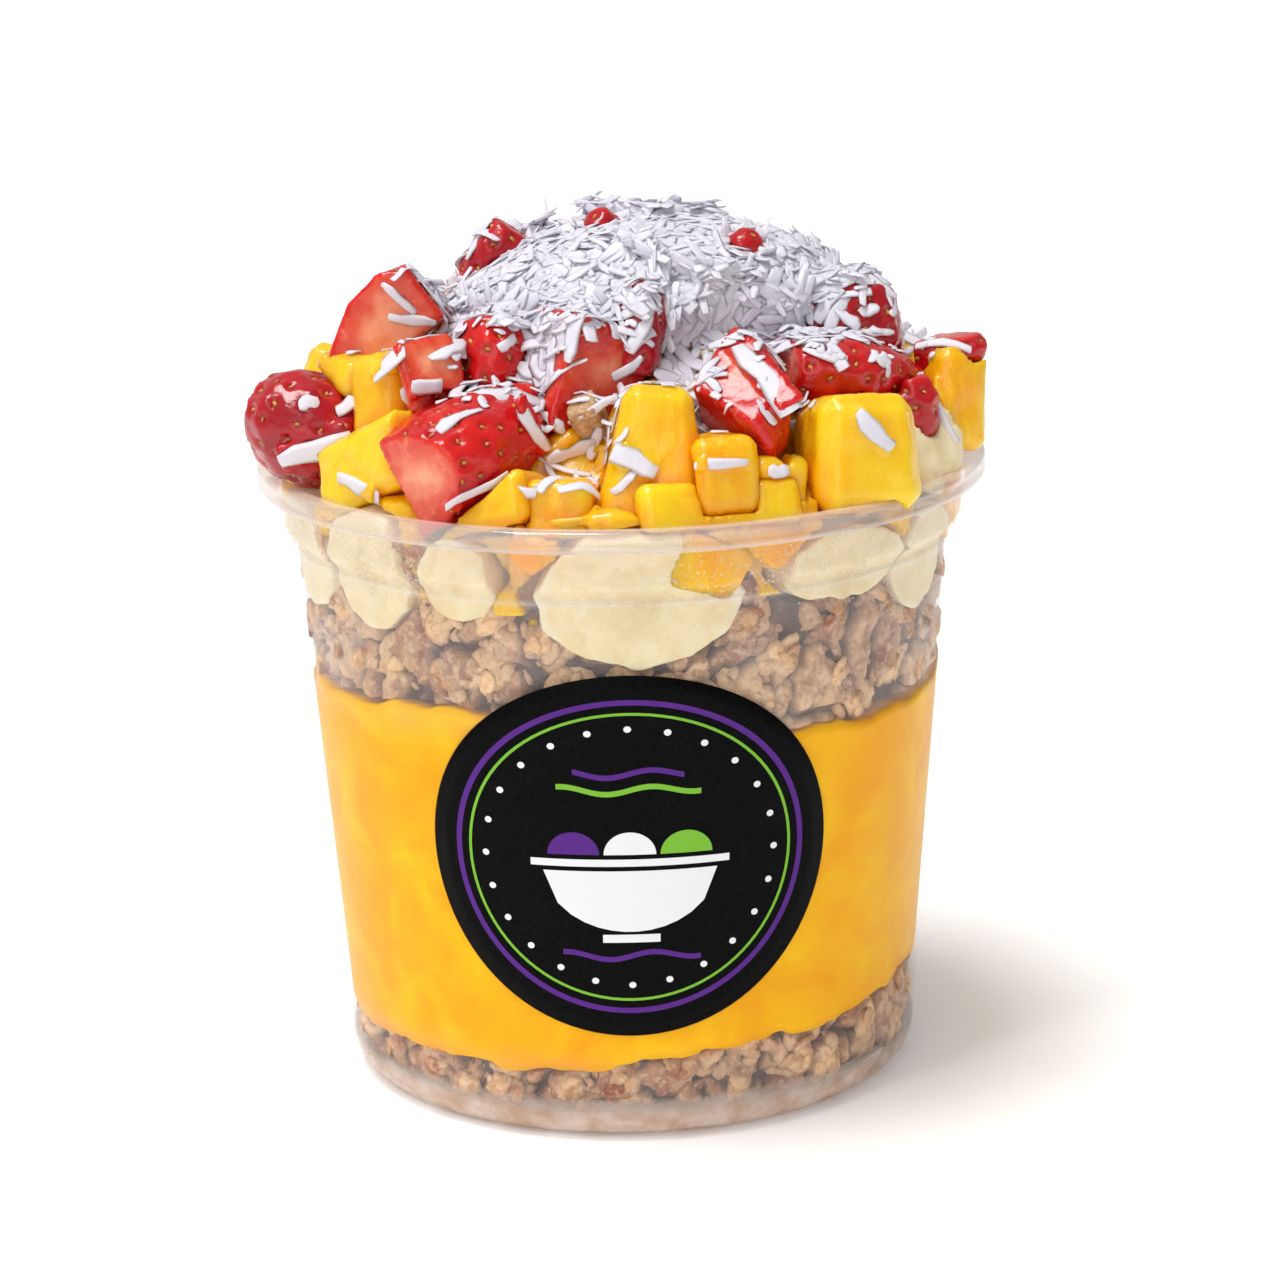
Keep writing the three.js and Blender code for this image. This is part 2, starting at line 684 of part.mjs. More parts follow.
const boxOf = (points) => new THREE.Box3().setFromPoints(points).expandByScalar(2 * SWELL);

const without = (solid, others) => others.reduce((rest, other) => rest.subtract(other.solid), solid);

// Cuts a placed convex piece clear of the tub and of the pieces laid before it.
function addPiece(name, colour, [points, plainPoints], at, turn) {
  const frame = frameOf(at, turn);
  const place = (list) => list.map((point) => point.clone().applyMatrix4(frame));
  const placed = place(points);
  const box = boxOf(placed);
  const near = pressed.filter((other) => other.box.intersectsBox(box));
  const solid = mainBody(without(toSolid(hull(placed)), near).subtract(keepOut));
  pressed.push({ box, solid: swollen(place(plainPoints), SWELL) });
  nodes.push({ name, colour, solid, frame, box });
}

function addFruit(label, colour, rows, form) {
  rows.forEach(([at, size, turn, shape], i) => {
    const name = `${label}_${String(i + 1).padStart(2, '0')}`;
    const seed = i + 1;
    addPiece(name, colour, [form(size, seed, shape), form(size, seed, shape, true)], at, turn);
  });
}

const allBerries = [...BERRIES, ...lowBack.filter(isBerry), ...highBack.filter(isBerry)];
const allMangoes = [
  ...MANGOES,
  ...lowBack.filter((row) => !isBerry(row)),
  ...highBack.filter((row) => !isBerry(row)),
];
addFruit('strawberry', COLOURS.strawberry, allBerries, berryPoints);
addFruit('mango', COLOURS.mango, allMangoes, blockPoints);
addFruit('banana', COLOURS.banana, [...BANANAS, ...backRing(BACK.banana, backSlice)], slicePoints);

// A flake lying flat on the first piece of fruit behind [x, z], fused to it and cut clear of
// every other piece.
function addFlake([[x, z], [length, width], spin]) {
  const front = new THREE.Vector3(x, -2 * TUB.rimRadius, z);
  const ray = new THREE.Raycaster(front, new THREE.Vector3(0, 1, 0));
  const column = nodes.filter(({ box }) => ray.ray.intersectsBox(box));
  const targets = column.map(({ solid }) => new THREE.Mesh(toGeometry(solid)));
  const hit = ray.intersectObjects(targets)[0];
  const host = column[targets.indexOf(hit.object)];
  const { normal } = hit.face;
  const azimuth = Math.atan2(normal.x, -normal.y) / DEGREE;
  const elevation = Math.asin(normal.z) / DEGREE;
  const frame = frameOf(hit.point.toArray(), [azimuth, elevation, -spin]);
  const slab = new THREE.BoxGeometry(length, FLAKE_THICKNESS, width);
  const points = cornersOf(slab).map((point) => point.applyMatrix4(frame));
  const others = pressed.filter(({ box }) => box !== host.box);
  const clear = without(toSolid(hull(points)), others);
  host.solid = mainBody(host.solid.add(clear.subtract(keepOut)));
  pressed.push({ box: boxOf(points), solid: swollen(points, SWELL) });
}

function cornersOf(geometry) {
  const { position } = bare(geometry).attributes;
  const points = [];
  for (let i = 0; i < position.count; i += 1) {
    points.push(new THREE.Vector3().fromBufferAttribute(position, i));
  }
  return points;
}

FLAKES.forEach(addFlake);

// Granola lumps: small uneven blocks joined on a core.
function crumbsSolid() {
  const random = seeded(11);
  const lump = (at, size, seed) => {
    const points = blockPoints(size, seed, {}, true);
    const frame = frameOf(at, [random() * 360, random() * 60, random() * 180]);
    return toSolid(hull(points.map((point) => point.applyMatrix4(frame))));
  };
  const [x, y, z] = CRUMBS.at;
  let solid = lump(CRUMBS.at, CRUMBS.core, 0);
  for (let i = 0; i < CRUMBS.count; i += 1) {
    const [dx, dy] = aside(random() * 360 * DEGREE, CRUMBS.reach);
    const at = [x + dx, y + dy, z + between(random, CRUMBS.rise)];
    solid = solid.add(lump(at, CRUMBS.lump, i + 1));
  }
  return solid;
}

// Shredded coconut: a low mound over the bed with flat strips fused on it.
function moundPoint(angle, share) {
  const uneven = 1 + waving(COCONUT.lobes, angle) - COCONUT.shortFront * Math.cos(angle);
  const [dx, dy] = aside(angle, share * COCONUT.radius * uneven);
  return [COCONUT.centre[0] + dx, COCONUT.centre[1] + dy];
}

const bedUnder = (x, y) => bedHeight(Math.hypot(x, y), Math.atan2(x, -y));

function moundHeight(x, y) {
  const share = Math.hypot(x - COCONUT.centre[0], y - COCONUT.centre[1]) / COCONUT.radius;
  const [depth, alongX, alongY] = COCONUT.ripple;
  const ripple = depth * Math.sin(alongX * x) * Math.sin(alongY * y);
  const dome = COCONUT.peak - COCONUT.fall * share ** COCONUT.fallPower + ripple;
  return Math.max(dome, bedUnder(x, y) + COCONUT.margin);
}

function moundSolid() {
  const { centre, rings, spokes } = COCONUT;
  const under = (x, y) => bedUnder(x, y) + 3 * GAP;
  const positions = [...centre, moundHeight(...centre), ...centre, under(...centre)];
  const corners = [];
  for (const surface of [moundHeight, under]) {
    for (let ring = 1; ring <= rings; ring += 1) {
      for (let spoke = 0; spoke < spokes; spoke += 1) {
        const point = moundPoint((spoke / spokes) * 360 * DEGREE, ring / rings);
        positions.push(...point, surface(...point));
      }
    }
  }
  const at = (face, ring, spoke) =>
    ring ? 2 + (face * rings + ring - 1) * spokes + (spoke % spokes) : face;
  for (let spoke = 0; spoke < spokes; spoke += 1) {
    const next = spoke + 1;
    corners.push(at(0, 0, 0), at(0, 1, spoke), at(0, 1, next));
    corners.push(at(1, 0, 0), at(1, 1, next), at(1, 1, spoke));
    for (let ring = 1; ring < rings; ring += 1) {
      const out = ring + 1;
      corners.push(at(0, ring, spoke), at(0, out, spoke), at(0, out, next));
      corners.push(at(0, ring, spoke), at(0, out, next), at(0, ring, next));
      corners.push(at(1, ring, spoke), at(1, out, next), at(1, out, spoke));
      corners.push(at(1, ring, spoke), at(1, ring, next), at(1, out, next));
    }
    corners.push(at(1, rings, spoke), at(1, rings, next), at(0, rings, next));
    corners.push(at(1, rings, spoke), at(0, rings, next), at(0, rings, spoke));
  }
  return toSolid(indexed(positions, corners));
}

// One flat shred lying on the mound, bent a little along its length.
function shredSolid(random) {
  const share = Math.sqrt(random());
  const [x, y] = moundPoint(random() * 360 * DEGREE, share);
  const length = between(random, COCONUT.length);
  const width = between(random, COCONUT.width);
  const tilt = [between(random, COCONUT.tilt), between(random, COCONUT.tilt)];
  const step = 1;
  const slopeX = (moundHeight(x + step, y) - moundHeight(x - step, y)) / (2 * step);
  const slopeY = (moundHeight(x, y + step) - moundHeight(x, y - step)) / (2 * step);
  const up = new THREE.Vector3(-slopeX, -slopeY, 1).normalize();
  const frame = new THREE.Quaternion().setFromUnitVectors(new THREE.Vector3(0, 0, 1), up);
  const spin = new THREE.Euler(tilt[0] * DEGREE, tilt[1] * DEGREE, random() * 360 * DEGREE, 'ZYX');
  frame.multiply(new THREE.Quaternion().setFromEuler(spin));
  const lift = new THREE.Vector3(x, y, moundHeight(x, y) + between(random, COCONUT.lift));
  const matrix = new THREE.Matrix4().compose(lift, frame, new THREE.Vector3(1, 1, 1));
  const slab = new THREE.BoxGeometry(length, width, COCONUT.thickness);
  return toSolid(slab.applyMatrix4(matrix));
}

function coconutSolid() {
  const random = seeded(3);
  let solid = moundSolid();
  for (let i = 0; i < COCONUT.shreds; i += 1) solid = solid.add(shredSolid(random));
  return solid;
}

// The layers and loose toppings are not turned, and give way to every piece of fruit.
function addLayer(name, colour, solid) {
  const frame = new THREE.Matrix4();
  nodes.push({ name, colour, solid: mainBody(without(solid, pressed)), frame });
}

addLayer('granola_crumbs', COLOURS.granola, crumbsSolid().subtract(bedSolid(GAP)));
addLayer('coconut_shreds', COLOURS.coconut, coconutSolid().subtract(bedSolid(GAP)));
addLayer('mango_bed', COLOURS.mangoBed, bedSolid(0));

const upperGranola = toSolid(
  layerGeometry({
    bottom: above(smoothieTop),
    top: granolaTop,
    rows: 6,
    relief: lumps,
  }),
);
addLayer('granola_upper', COLOURS.granola, upperGranola);

const smoothie = layerGeometry({
  bottom: above(smoothieFoot),
  top: smoothieTop,
});
addLayer('smoothie', COLOURS.smoothie, toSolid(smoothie));

const lowerGranola = layerGeometry({
  bottom: () => TUB.floor + GAP,
  top: smoothieFoot,
  rows: 5,
  relief: lumps,
});
addLayer('granola_lower', COLOURS.granola, toSolid(lowerGranola));

// ---- the scene graph ----------------------------------------------------------------------

function material([colour, roughness]) {
  return new THREE.MeshStandardMaterial({ color: colour, roughness, metalness: 0 });
}

const bowl = new THREE.Group();
const contents = new THREE.Group();

for (const { name, colour, solid, frame } of nodes) {
  const geometry = toGeometry(solid).applyMatrix4(frame.clone().invert());
  const mesh = new THREE.Mesh(geometry, material(colour));
  mesh.name = name;
  mesh.applyMatrix4(frame);
  contents.add(mesh);
}

const tub = new THREE.Mesh(tubGeometry(), material(COLOURS.tub));
tub.name = 'tub';
const label = new THREE.Mesh(labelGeometry(), material(COLOURS.label));
label.name = 'label';
bowl.add(tub, label, contents);

export default bowl;
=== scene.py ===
# The looks of a layered fruit and smoothie bowl in a clear round tub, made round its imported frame.
# Sizes are in millimetres until a mesh is made, and Blender's own units are metres.
# The foot's centre is the origin, the front looks along -Y, and azimuth 0 is the front.
import itertools
import math

import bpy
import numpy as np
from mathutils import Matrix, Vector
from mathutils.bvhtree import BVHTree
from mathutils.kdtree import KDTree


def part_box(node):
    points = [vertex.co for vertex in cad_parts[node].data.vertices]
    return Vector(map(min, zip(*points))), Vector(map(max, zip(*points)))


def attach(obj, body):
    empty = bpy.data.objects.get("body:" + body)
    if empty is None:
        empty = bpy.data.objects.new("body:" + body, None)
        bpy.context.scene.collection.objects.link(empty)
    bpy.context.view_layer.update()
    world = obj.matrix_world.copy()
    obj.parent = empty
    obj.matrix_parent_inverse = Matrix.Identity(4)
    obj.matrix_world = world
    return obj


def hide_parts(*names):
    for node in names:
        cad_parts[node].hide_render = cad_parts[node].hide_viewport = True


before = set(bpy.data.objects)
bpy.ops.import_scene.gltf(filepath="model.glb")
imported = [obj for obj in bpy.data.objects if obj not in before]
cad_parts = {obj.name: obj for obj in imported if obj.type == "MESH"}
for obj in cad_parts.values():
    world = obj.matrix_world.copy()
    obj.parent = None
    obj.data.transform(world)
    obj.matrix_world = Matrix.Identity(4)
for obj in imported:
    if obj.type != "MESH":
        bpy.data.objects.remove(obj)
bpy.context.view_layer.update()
MM = 0.001
DEGREE = math.pi / 180

# ---- driving values -----------------------------------------------------------------------

CAMERA = {
    "distance": 670.2,  # in front of the tub's axis
    "height": 246.7,
    "pitch": 0.2591,  # radians down
    "yaw": 0.0036,
    "roll": 0.0213,
    "focal": 4255.1,  # in pixels of the photograph's width
    "frame": 1280,
    "sensor": 36,
}

TUB = {
    "height": 101,
    "rim_radius": 58.5,
    "rim_depth": 3.5,
    "rim_inside": 54.6,
    "wall": 0.9,
    "collar_radius": 55.1,
    "collar_foot": 91.6,
    "shoulder_radius": 53.2,
    "shoulder_height": 89.2,
    "bead_radius": 53.7,
    "corner_radius": 46.5,
    "corner_height": 5.7,
    "foot_radius": 41.6,
    "foot_width": 2,
    "corner_steps": 9,
    "recess": 2.5,
    "floor": 3.5,
    "segments": 160,
}

# Where the wall is hazy: smoothie clears it between two heights, softly, and the collar is milkiest.
FOG = {"smoothie": (14, 66), "soft": 3, "collar": 1.4, "swing": 1.5}
BEAD_LINE = {"height": 88.8, "half": 0.5, "fog": 5}  # a painted highlight: the bead is milkier all round
# The foot band is milkier, and its colour is painted light: blotches standing in for the granola and
# the light seen through it.
MILKY_FOOT = {"low": 4, "high": 8, "alpha": 0.68}
WET_PATCH = {"azimuth": 12, "height": 93, "reach": 7}  # a dice of mango wets the collar here
WALL_ROWS = 48  # rows of points up the wall

INTO_WALL = 0.4  # how far the contents reach into the wall
WALL_RADIUS = 50.0  # roughly, where the layers lie

# ---- numbers ------------------------------------------------------------------------------

NOISE_VALUES = np.random.default_rng(11).uniform(-1, 1, 4096)
HASHES = (73856093, 19349663, 83492791)
SEED_SHIFT = 17.31  # how far apart the noises of two seeds lie, in cells


def noise(points, cell, seed):
    """Smooth noise between -1 and 1 at each point, with blobs of the size of cell."""
    spots = np.asarray(points, float) / cell + seed * SEED_SHIFT
    corner = np.floor(spots).astype(np.int64)
    part = spots - corner
    part = part * part * (3 - 2 * part)
    total = np.zeros(len(spots))
    for step in itertools.product((0, 1), repeat=3):
        index = (corner + step) * HASHES
        mixed = index[:, 0] ^ index[:, 1] ^ index[:, 2]
        weight = np.prod(np.where(np.array(step, bool), part, 1 - part), axis=1)
        total += NOISE_VALUES[(mixed ^ (mixed >> 12)) % len(NOISE_VALUES)] * weight
    return total


def layered_noise(points, cell, octaves, seed):
    """Noise with finer and fainter noise on it."""
    total = sum(noise(points, cell / 2**i, seed + i) / 2**i for i in range(octaves))
    return total / (2 - 2.0 ** (1 - octaves))


def smoothstep(low, high, value):
    """0 below low, 1 above high, and smooth between."""
    part = np.clip((value - low) / (high - low), 0, 1)
    return part * part * (3 - 2 * part)


def aside(azimuth, radius):
    """X and Y of the point at an azimuth, in radians, and a radius."""
    return radius * np.sin(azimuth), -radius * np.cos(azimuth)


def full_turn(count):
    """Angles spread evenly round a circle."""
    return np.linspace(0, math.tau, count, endpoint=False)


def unit(vector):
    return vector / np.linalg.norm(vector)


# ---- meshes -------------------------------------------------------------------------------


def linked(name, data):
    """A new object in the scene."""
    made = bpy.data.objects.new(name, data)
    bpy.context.scene.collection.objects.link(made)
    return made


def new_piece(name, points, faces, slot, materials):
    """A smooth mesh object from points in millimetres, which rides on the part's only body."""
    mesh = bpy.data.meshes.new(name)
    mesh.from_pydata((np.asarray(points, float) * MM).tolist(), [], as_lists(faces))
    mesh.update()
    mesh.shade_smooth()
    piece = linked(name, mesh)
    dress(piece, materials)
    return piece


def as_lists(faces):
    return faces.tolist() if isinstance(faces, np.ndarray) else faces


def dress(piece, materials):
    for shader in materials:
        piece.data.materials.append(shader)
    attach(piece, "root")


def vectors_of(items, key):
    """A property of three numbers of each item, as rows of an array."""
    values = np.zeros(len(items) * 3, np.float32)
    items.foreach_get(key, values)
    return values.reshape(-1, 3).astype(float)


def points_of(mesh):
    """The vertices in millimetres."""
    return vectors_of(mesh.vertices, "co") / MM


def normals_of(mesh):
    return vectors_of(mesh.vertex_normals, "vector")


def set_points(mesh, points):
    mesh.vertices.foreach_set("co", (points * MM).astype(np.float32).ravel())
    mesh.update()


def set_attributes(mesh, **attributes):
    """Gives the vertices named values, each one number for all or an array of one for each."""
    for name, values in attributes.items():
        layer = mesh.attributes.new(name, "FLOAT", "POINT")
        layer.data.foreach_set("value", (np.ones(len(mesh.vertices)) * values).astype(np.float32))


def applied(piece):
    """Puts the result of the piece's modifiers in its mesh."""
    bpy.context.view_layer.update()
    graph = bpy.context.evaluated_depsgraph_get()
    mesh = bpy.data.meshes.new_from_object(piece.evaluated_get(graph))
    piece.modifiers.clear()
    piece.data = mesh


def fine_copy(node, name, cell, rounding, swell):
    """A finer mesh of a node's form: cell is its grid, and swell makes up for the rounding."""
    piece = linked(name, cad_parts[node].data.copy())
    piece.data.materials.clear()
    remesh = piece.modifiers.new("grid", "REMESH")
    remesh.mode = "VOXEL"
    remesh.voxel_size = cell * MM
    soften = piece.modifiers.new("soften", "SMOOTH")
    soften.iterations = rounding
    applied(piece)
    piece.data.shade_smooth()
    set_points(piece.data, raised(piece.data, swell))
    return piece


def raised(mesh, relief):
    """The vertices, moved along their normals by one height or by one for each."""
    return points_of(mesh) + normals_of(mesh) * np.reshape(relief, (-1, 1))


def stand_in(piece, node, slot, shader, points, **attributes):
    """Finishes a fine copy, which takes the node's place."""
    set_points(piece.data, points)
    set_attributes(piece.data, **attributes)
    dress(piece, [shader])
    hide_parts(node)
    return piece


def joined(parts):
    """One array of points and one list of faces from several pairs of them."""
    points = []
    faces = []
    start = 0
    for some_points, some_faces in parts:
        points.append(some_points)
        faces.extend([corner + start for corner in face] for face in as_lists(some_faces))
        start += len(some_points)
    return np.concatenate(points), faces


def grid_faces(rows, columns, closed=False):
    """Quads of a grid of points, row after row. A closed grid's rows are rings."""
    across = columns if closed else columns - 1
    i, j = np.meshgrid(np.arange(rows - 1), np.arange(across), indexing="ij")
    a = i * columns + j
    b = i * columns + (j + 1) % columns
    c = (i + 1) * columns + (j + 1) % columns
    d = (i + 1) * columns + j
    return np.stack([a, b, c, d], axis=-1).reshape(-1, 4)


def capped_grid(rings, first, last):
    """Points and faces of rings of points, closed by a point at each end."""
    count, columns = rings.shape[:2]
    points = np.concatenate([rings.reshape(-1, 3), [first], [last]])
    faces = grid_faces(count, columns, closed=True).tolist()
    top = len(points) - 2
    edge = (count - 1) * columns
    for j in range(columns):
        k = (j + 1) % columns
        faces.append([top, k, j])
        faces.append([top + 1, edge + j, edge + k])
    return points, faces


def ball(rows, columns):
    """Points and faces of a unit sphere, with its poles along Z."""
    polar = np.linspace(0, math.pi, rows + 2)[1:-1]
    angles = full_turn(columns)
    rings = np.array([
        np.stack([np.sin(p) * np.cos(angles), np.sin(p) * np.sin(angles), 0 * angles + np.cos(p)], -1)
        for p in polar
    ])
    return capped_grid(rings, (0, 0, 1), (0, 0, -1))


def turned_to(normal, spin):
    """A rotation matrix that turns +Z to the normal, after a spin about it."""
    tilt = Vector(normal).to_track_quat("Z", "Y").to_matrix()
    return np.array(tilt @ Matrix.Rotation(spin, 3, "Z"))


def shape_of(mesh):
    """A mesh's points and faces. All its faces have the same number of sides."""
    corners = np.zeros(len(mesh.loops), np.int32)
    mesh.loops.foreach_get("vertex_index", corners)
    return points_of(mesh), corners.reshape(len(mesh.polygons), -1)


def surface_tree(pieces):
    """A search tree of the pieces' surfaces, in millimetres."""
    points, faces = joined(shape_of(piece.data) for piece in pieces)
    return BVHTree.FromPolygons(points.tolist(), faces)


def spot_tree(spots):
    tree = KDTree(len(spots))
    for i, spot in enumerate(spots):
        tree.insert(spot, i)
    tree.balance()
    return tree


def nearest(points, targets):
    """Distance from each point to the nearest target."""
    tree = spot_tree(targets)
    return np.array([tree.find(point)[2] for point in points])


def cells(points, centres):
    """The number of the centre nearest to each point, and how much farther off the next one is."""
    tree = spot_tree(centres)
    found = [tree.find_n(point, 2) for point in points]
    numbers = np.array([first[1] for first, _ in found])
    return numbers, np.array([second[2] - first[2] for first, second in found])


def spread_out(points, gap, seed):
    """Numbers of points that lie at least gap apart, taken in a random order."""
    order = np.random.default_rng(seed).permutation(len(points))
    taken = {}
    chosen = []
    for i in order:
        key = tuple(np.floor(points[i] / gap).astype(int))
        near = itertools.product(*[(k - 1, k, k + 1) for k in key])
        others = [other for spot in near for other in taken.get(spot, ())]
        if all(np.sum((points[i] - points[other]) ** 2) >= gap * gap for other in others):
            taken.setdefault(key, []).append(i)
            chosen.append(i)
    return np.array(chosen, int)


# ---- materials ----------------------------------------------------------------------------


class Shader:
    """A Principled material that grows node by node. Lengths in it are in millimetres."""

    def __init__(self, name, **values):
        self.material = bpy.data.materials.new(name)
        self.material.use_nodes = True
        self.tree = self.material.node_tree
        self.surface = self.tree.nodes["Principled BSDF"]
        self.place = self.node("ShaderNodeTexCoord").outputs["Object"]
        for key, value in values.items():
            self.surface.inputs[key.replace("_", " ")].default_value = value

    def node(self, kind, **settings):
        made = self.tree.nodes.new(kind)
        for key, value in settings.items():
            setattr(made, key, value)
        return made

    def link(self, source, target):
        self.tree.links.new(source, target)

    def feed(self, socket, value):
        """Links a socket, or sets it to a plain value or colour."""
        if isinstance(value, bpy.types.NodeSocket):
            self.link(value, socket)
        elif isinstance(value, str):
            socket.default_value = colour(value)
        else:
            socket.default_value = value

    def set(self, name, value):
        self.feed(self.surface.inputs[name], value)

    def attribute(self, name):
        return self.node("ShaderNodeAttribute", attribute_name=name).outputs["Fac"]

    def stretched(self, x, y, z):
        """The place, stretched along the axes."""
        mapping = self.node("ShaderNodeMapping")
        self.link(self.place, mapping.inputs["Vector"])
        mapping.inputs["Scale"].default_value = (x, y, z)
        return mapping.outputs["Vector"]

    def blobs(self, cell, detail=3, roughness=0.55, distortion=0, place=None):
        """Noise whose blobs are cell millimetres wide."""
        made = self.node("ShaderNodeTexNoise")
        self.link(place or self.place, made.inputs["Vector"])
        made.inputs["Scale"].default_value = 1 / (cell * MM)
        made.inputs["Detail"].default_value = detail
        made.inputs["Roughness"].default_value = roughness
        made.inputs["Distortion"].default_value = distortion
        return made.outputs["Fac"]

    def spread(self, value, low, high, to_low=0.0, to_high=1.0):
        """Maps a range of values to another, held at its ends."""
        made = self.node("ShaderNodeMapRange", clamp=True)
        self.feed(made.inputs["Value"], value)
        made.inputs["From Min"].default_value = low
        made.inputs["From Max"].default_value = high
        made.inputs["To Min"].default_value = to_low
        made.inputs["To Max"].default_value = to_high
        return made.outputs["Result"]

    def combine(self, operation, first, second):
        made = self.node("ShaderNodeMath", operation=operation)
        self.feed(made.inputs[0], first)
        self.feed(made.inputs[1], second)
        return made.outputs["Value"]

    def mix(self, share, first, second):
        """The first colour where share is 0, and the second where it is 1."""
        made = self.node("ShaderNodeMix", data_type="RGBA")
        self.feed(made.inputs["Factor"], share)
        self.feed(made.inputs[6], first)
        self.feed(made.inputs[7], second)
        return made.outputs[2]

    def ramp(self, value, *stops):
        """A colour ramp with (position, colour) stops."""
        made = self.node("ShaderNodeValToRGB")
        self.feed(made.inputs["Fac"], value)
        elements = made.color_ramp.elements
        while len(elements) < len(stops):
            elements.new(0.5)
        for element, (position, shade) in zip(elements, stops):
            element.position = position
            element.color = colour(shade)
        return made.outputs["Color"]

    def bump(self, height, distance):
        """Relief of that many millimetres."""
        made = self.node("ShaderNodeBump")
        made.inputs["Distance"].default_value = distance * MM
        self.link(height, made.inputs["Height"])
        self.set("Normal", made.outputs["Normal"])


def colour(code):
    """A linear colour from an sRGB code such as #ffcc00."""
    parts = [int(code[i : i + 2], 16) / 255 for i in (1, 3, 5)]
    line = [c / 12.92 if c <= 0.04045 else ((c + 0.055) / 1.055) ** 2.4 for c in parts]
    return (*line, 1.0)


def soft_inside(shader, weight, scale, radius):
    """Light that soaks in a little, as in fruit. scale is in millimetres."""
    shader.set("Subsurface Weight", weight)
    shader.set("Subsurface Scale", scale * MM)
    shader.set("Subsurface Radius", radius)
    return shader


def mango_shader(name, light, deep):
    shader = Shader(name, Roughness=0.3, IOR=1.4, Coat_Weight=0.35, Coat_Roughness=0.12)
    broad = shader.combine("ADD", shader.blobs(9, 2), shader.attribute("tone"))
    fibres = shader.blobs(2.2, 4, 0.6, 0.6, shader.stretched(1, 1, 0.3))
    tone = shader.mix(shader.spread(broad, 0.3, 0.8), light, deep)
    # Painted highlight: a lemon yellow on the raised fibres of the bump.
    tone = shader.mix(shader.spread(fibres, 0.5, 0.75, 0, 0.5), tone, "#ffd93a")
    # Painted shade: a deeper orange near the neighbouring fruit and in the bed's grooves.
    tone = shader.mix(shader.spread(shader.attribute("juice"), 0, 1, 0, 0.85), tone, "#ffa60c")
    shader.set("Base Color", tone)
    shader.bump(shader.combine("ADD", fibres, shader.blobs(0.7, 2)), 0.14)
    shader.set("Roughness", shader.spread(fibres, 0.3, 0.7, 0.2, 0.38))
    return soft_inside(shader, 0.8, 5, (1.0, 0.95, 0.25)).material


def strawberry_shader():
    shader = Shader("strawberry", IOR=1.4, Coat_Weight=0.3, Coat_Roughness=0.1)
    cut = shader.attribute("cut")
    depth = shader.attribute("depth")
    pit = shader.attribute("pit")
    broad = shader.spread(shader.blobs(7, 3), 0.35, 0.68)
    bright = shader.mix(broad, "#c20c14", "#da1c12")
    dark = shader.mix(broad, "#9c0818", "#c0101e")
    skin = shader.mix(shader.attribute("shade"), bright, dark)
    # Painted shade: the skin darkens in the dimples round the pips.
    skin = shader.mix(shader.spread(pit, 0.2, 0.9, 0, 0.45), skin, "#6d0410")
    streaks = shader.blobs(2.4, 3, 0.5, 1.0)
    clouds = shader.spread(shader.blobs(6, 2), 0.3, 0.7, -0.2, 0.35)
    reach = shader.combine("ADD", shader.spread(depth, 0, 7), clouds)
    reach = shader.combine("ADD", reach, shader.attribute("pale"))
    flesh = shader.ramp(reach, (0, "#c41610"), (0.25, "#d63420"), (0.6, "#e45c3c"), (1, "#f4a078"))
    flesh = shader.mix(shader.spread(streaks, 0.55, 0.75, 0, 0.3), flesh, "#f4ac8c")
    shader.set("Base Color", shader.mix(cut, skin, flesh))
    shader.set("Roughness", shader.spread(streaks, 0.3, 0.7, 0.14, 0.3))
    relief = shader.combine("ADD", shader.blobs(1.4, 3), shader.combine("MULTIPLY", streaks, 0.6))
    shader.bump(relief, 0.12)
    return soft_inside(shader, 0.4, 2.5, (1.0, 0.3, 0.2)).material


def banana_shader():
    shader = Shader("banana", Roughness=0.38, IOR=1.4)
    radial = shader.attribute("radial")
    fibres = shader.blobs(1.8, 4, 0.6)
    rings = shader.ramp(
        shader.spread(radial, 0, 1),
        (0, "#e0c99a"),
        (0.25, "#ead8ae"),
        (0.45, "#f2e0b8"),
        (0.8, "#efdcb2"),
        (1, "#f4e9cf"),
    )
    clouds = shader.blobs(5, 3, 0.6, 1)
    tone = shader.mix(shader.spread(clouds, 0.45, 0.72, 0, 0.6), rings, "#e0c488")
    tone = shader.mix(shader.spread(fibres, 0.5, 0.75, 0, 0.5), tone, "#f3e8ce")
    shader.set("Base Color", tone)
    shader.bump(fibres, 0.2)
    return soft_inside(shader, 0.3, 2.5, (1.0, 0.8, 0.45)).material


def coconut_shader():
    shader = Shader("coconut", Roughness=0.6, IOR=1.4)
    broad = shader.blobs(8, 2)
    grain = shader.blobs(0.8, 4, 0.6)
    tone = shader.mix(shader.spread(broad, 0.4, 0.7), "#e4e1ea", "#dad6e2")
    # Painted highlight: paler on the raised grain of the bump.
    tone = shader.mix(shader.spread(grain, 0.5, 0.8, 0, 0.5), tone, "#eceaf1")
    shader.set("Base Color", tone)
    shader.bump(grain, 0.12)
    return soft_inside(shader, 0.2, 1, (1.0, 0.92, 1.0)).material


def granola_shader(name, light, deep):
    shader = Shader(name, Roughness=0.6, IOR=1.4)
    tone = shader.attribute("tone")
    gap = shader.attribute("gap")
    grain = shader.blobs(1.1, 5, 0.7, 0.5)
    toast = shader.spread(shader.blobs(3.2, 3), 0.4, 0.7, -0.25, 0.3)
    base = shader.mix(shader.spread(shader.combine("ADD", tone, toast), 0, 1), light, deep)
    # Painted highlight: paler on the raised grain, and painted shade: darker in its hollows, as the
    # bump uses the same grain.
    base = shader.mix(shader.spread(grain, 0.5, 0.66, 0, 0.6), base, "#f6e0bc")
    base = shader.mix(shader.spread(grain, 0.46, 0.32, 0, 0.45), base, "#8a4c2c")
    # Painted shade: dark where the core lies deep, in the gaps between the lumps.
    base = shader.mix(gap, base, "#563a32")
    shader.set("Base Color", base)
    shader.bump(grain, 0.5)
    return shader.material


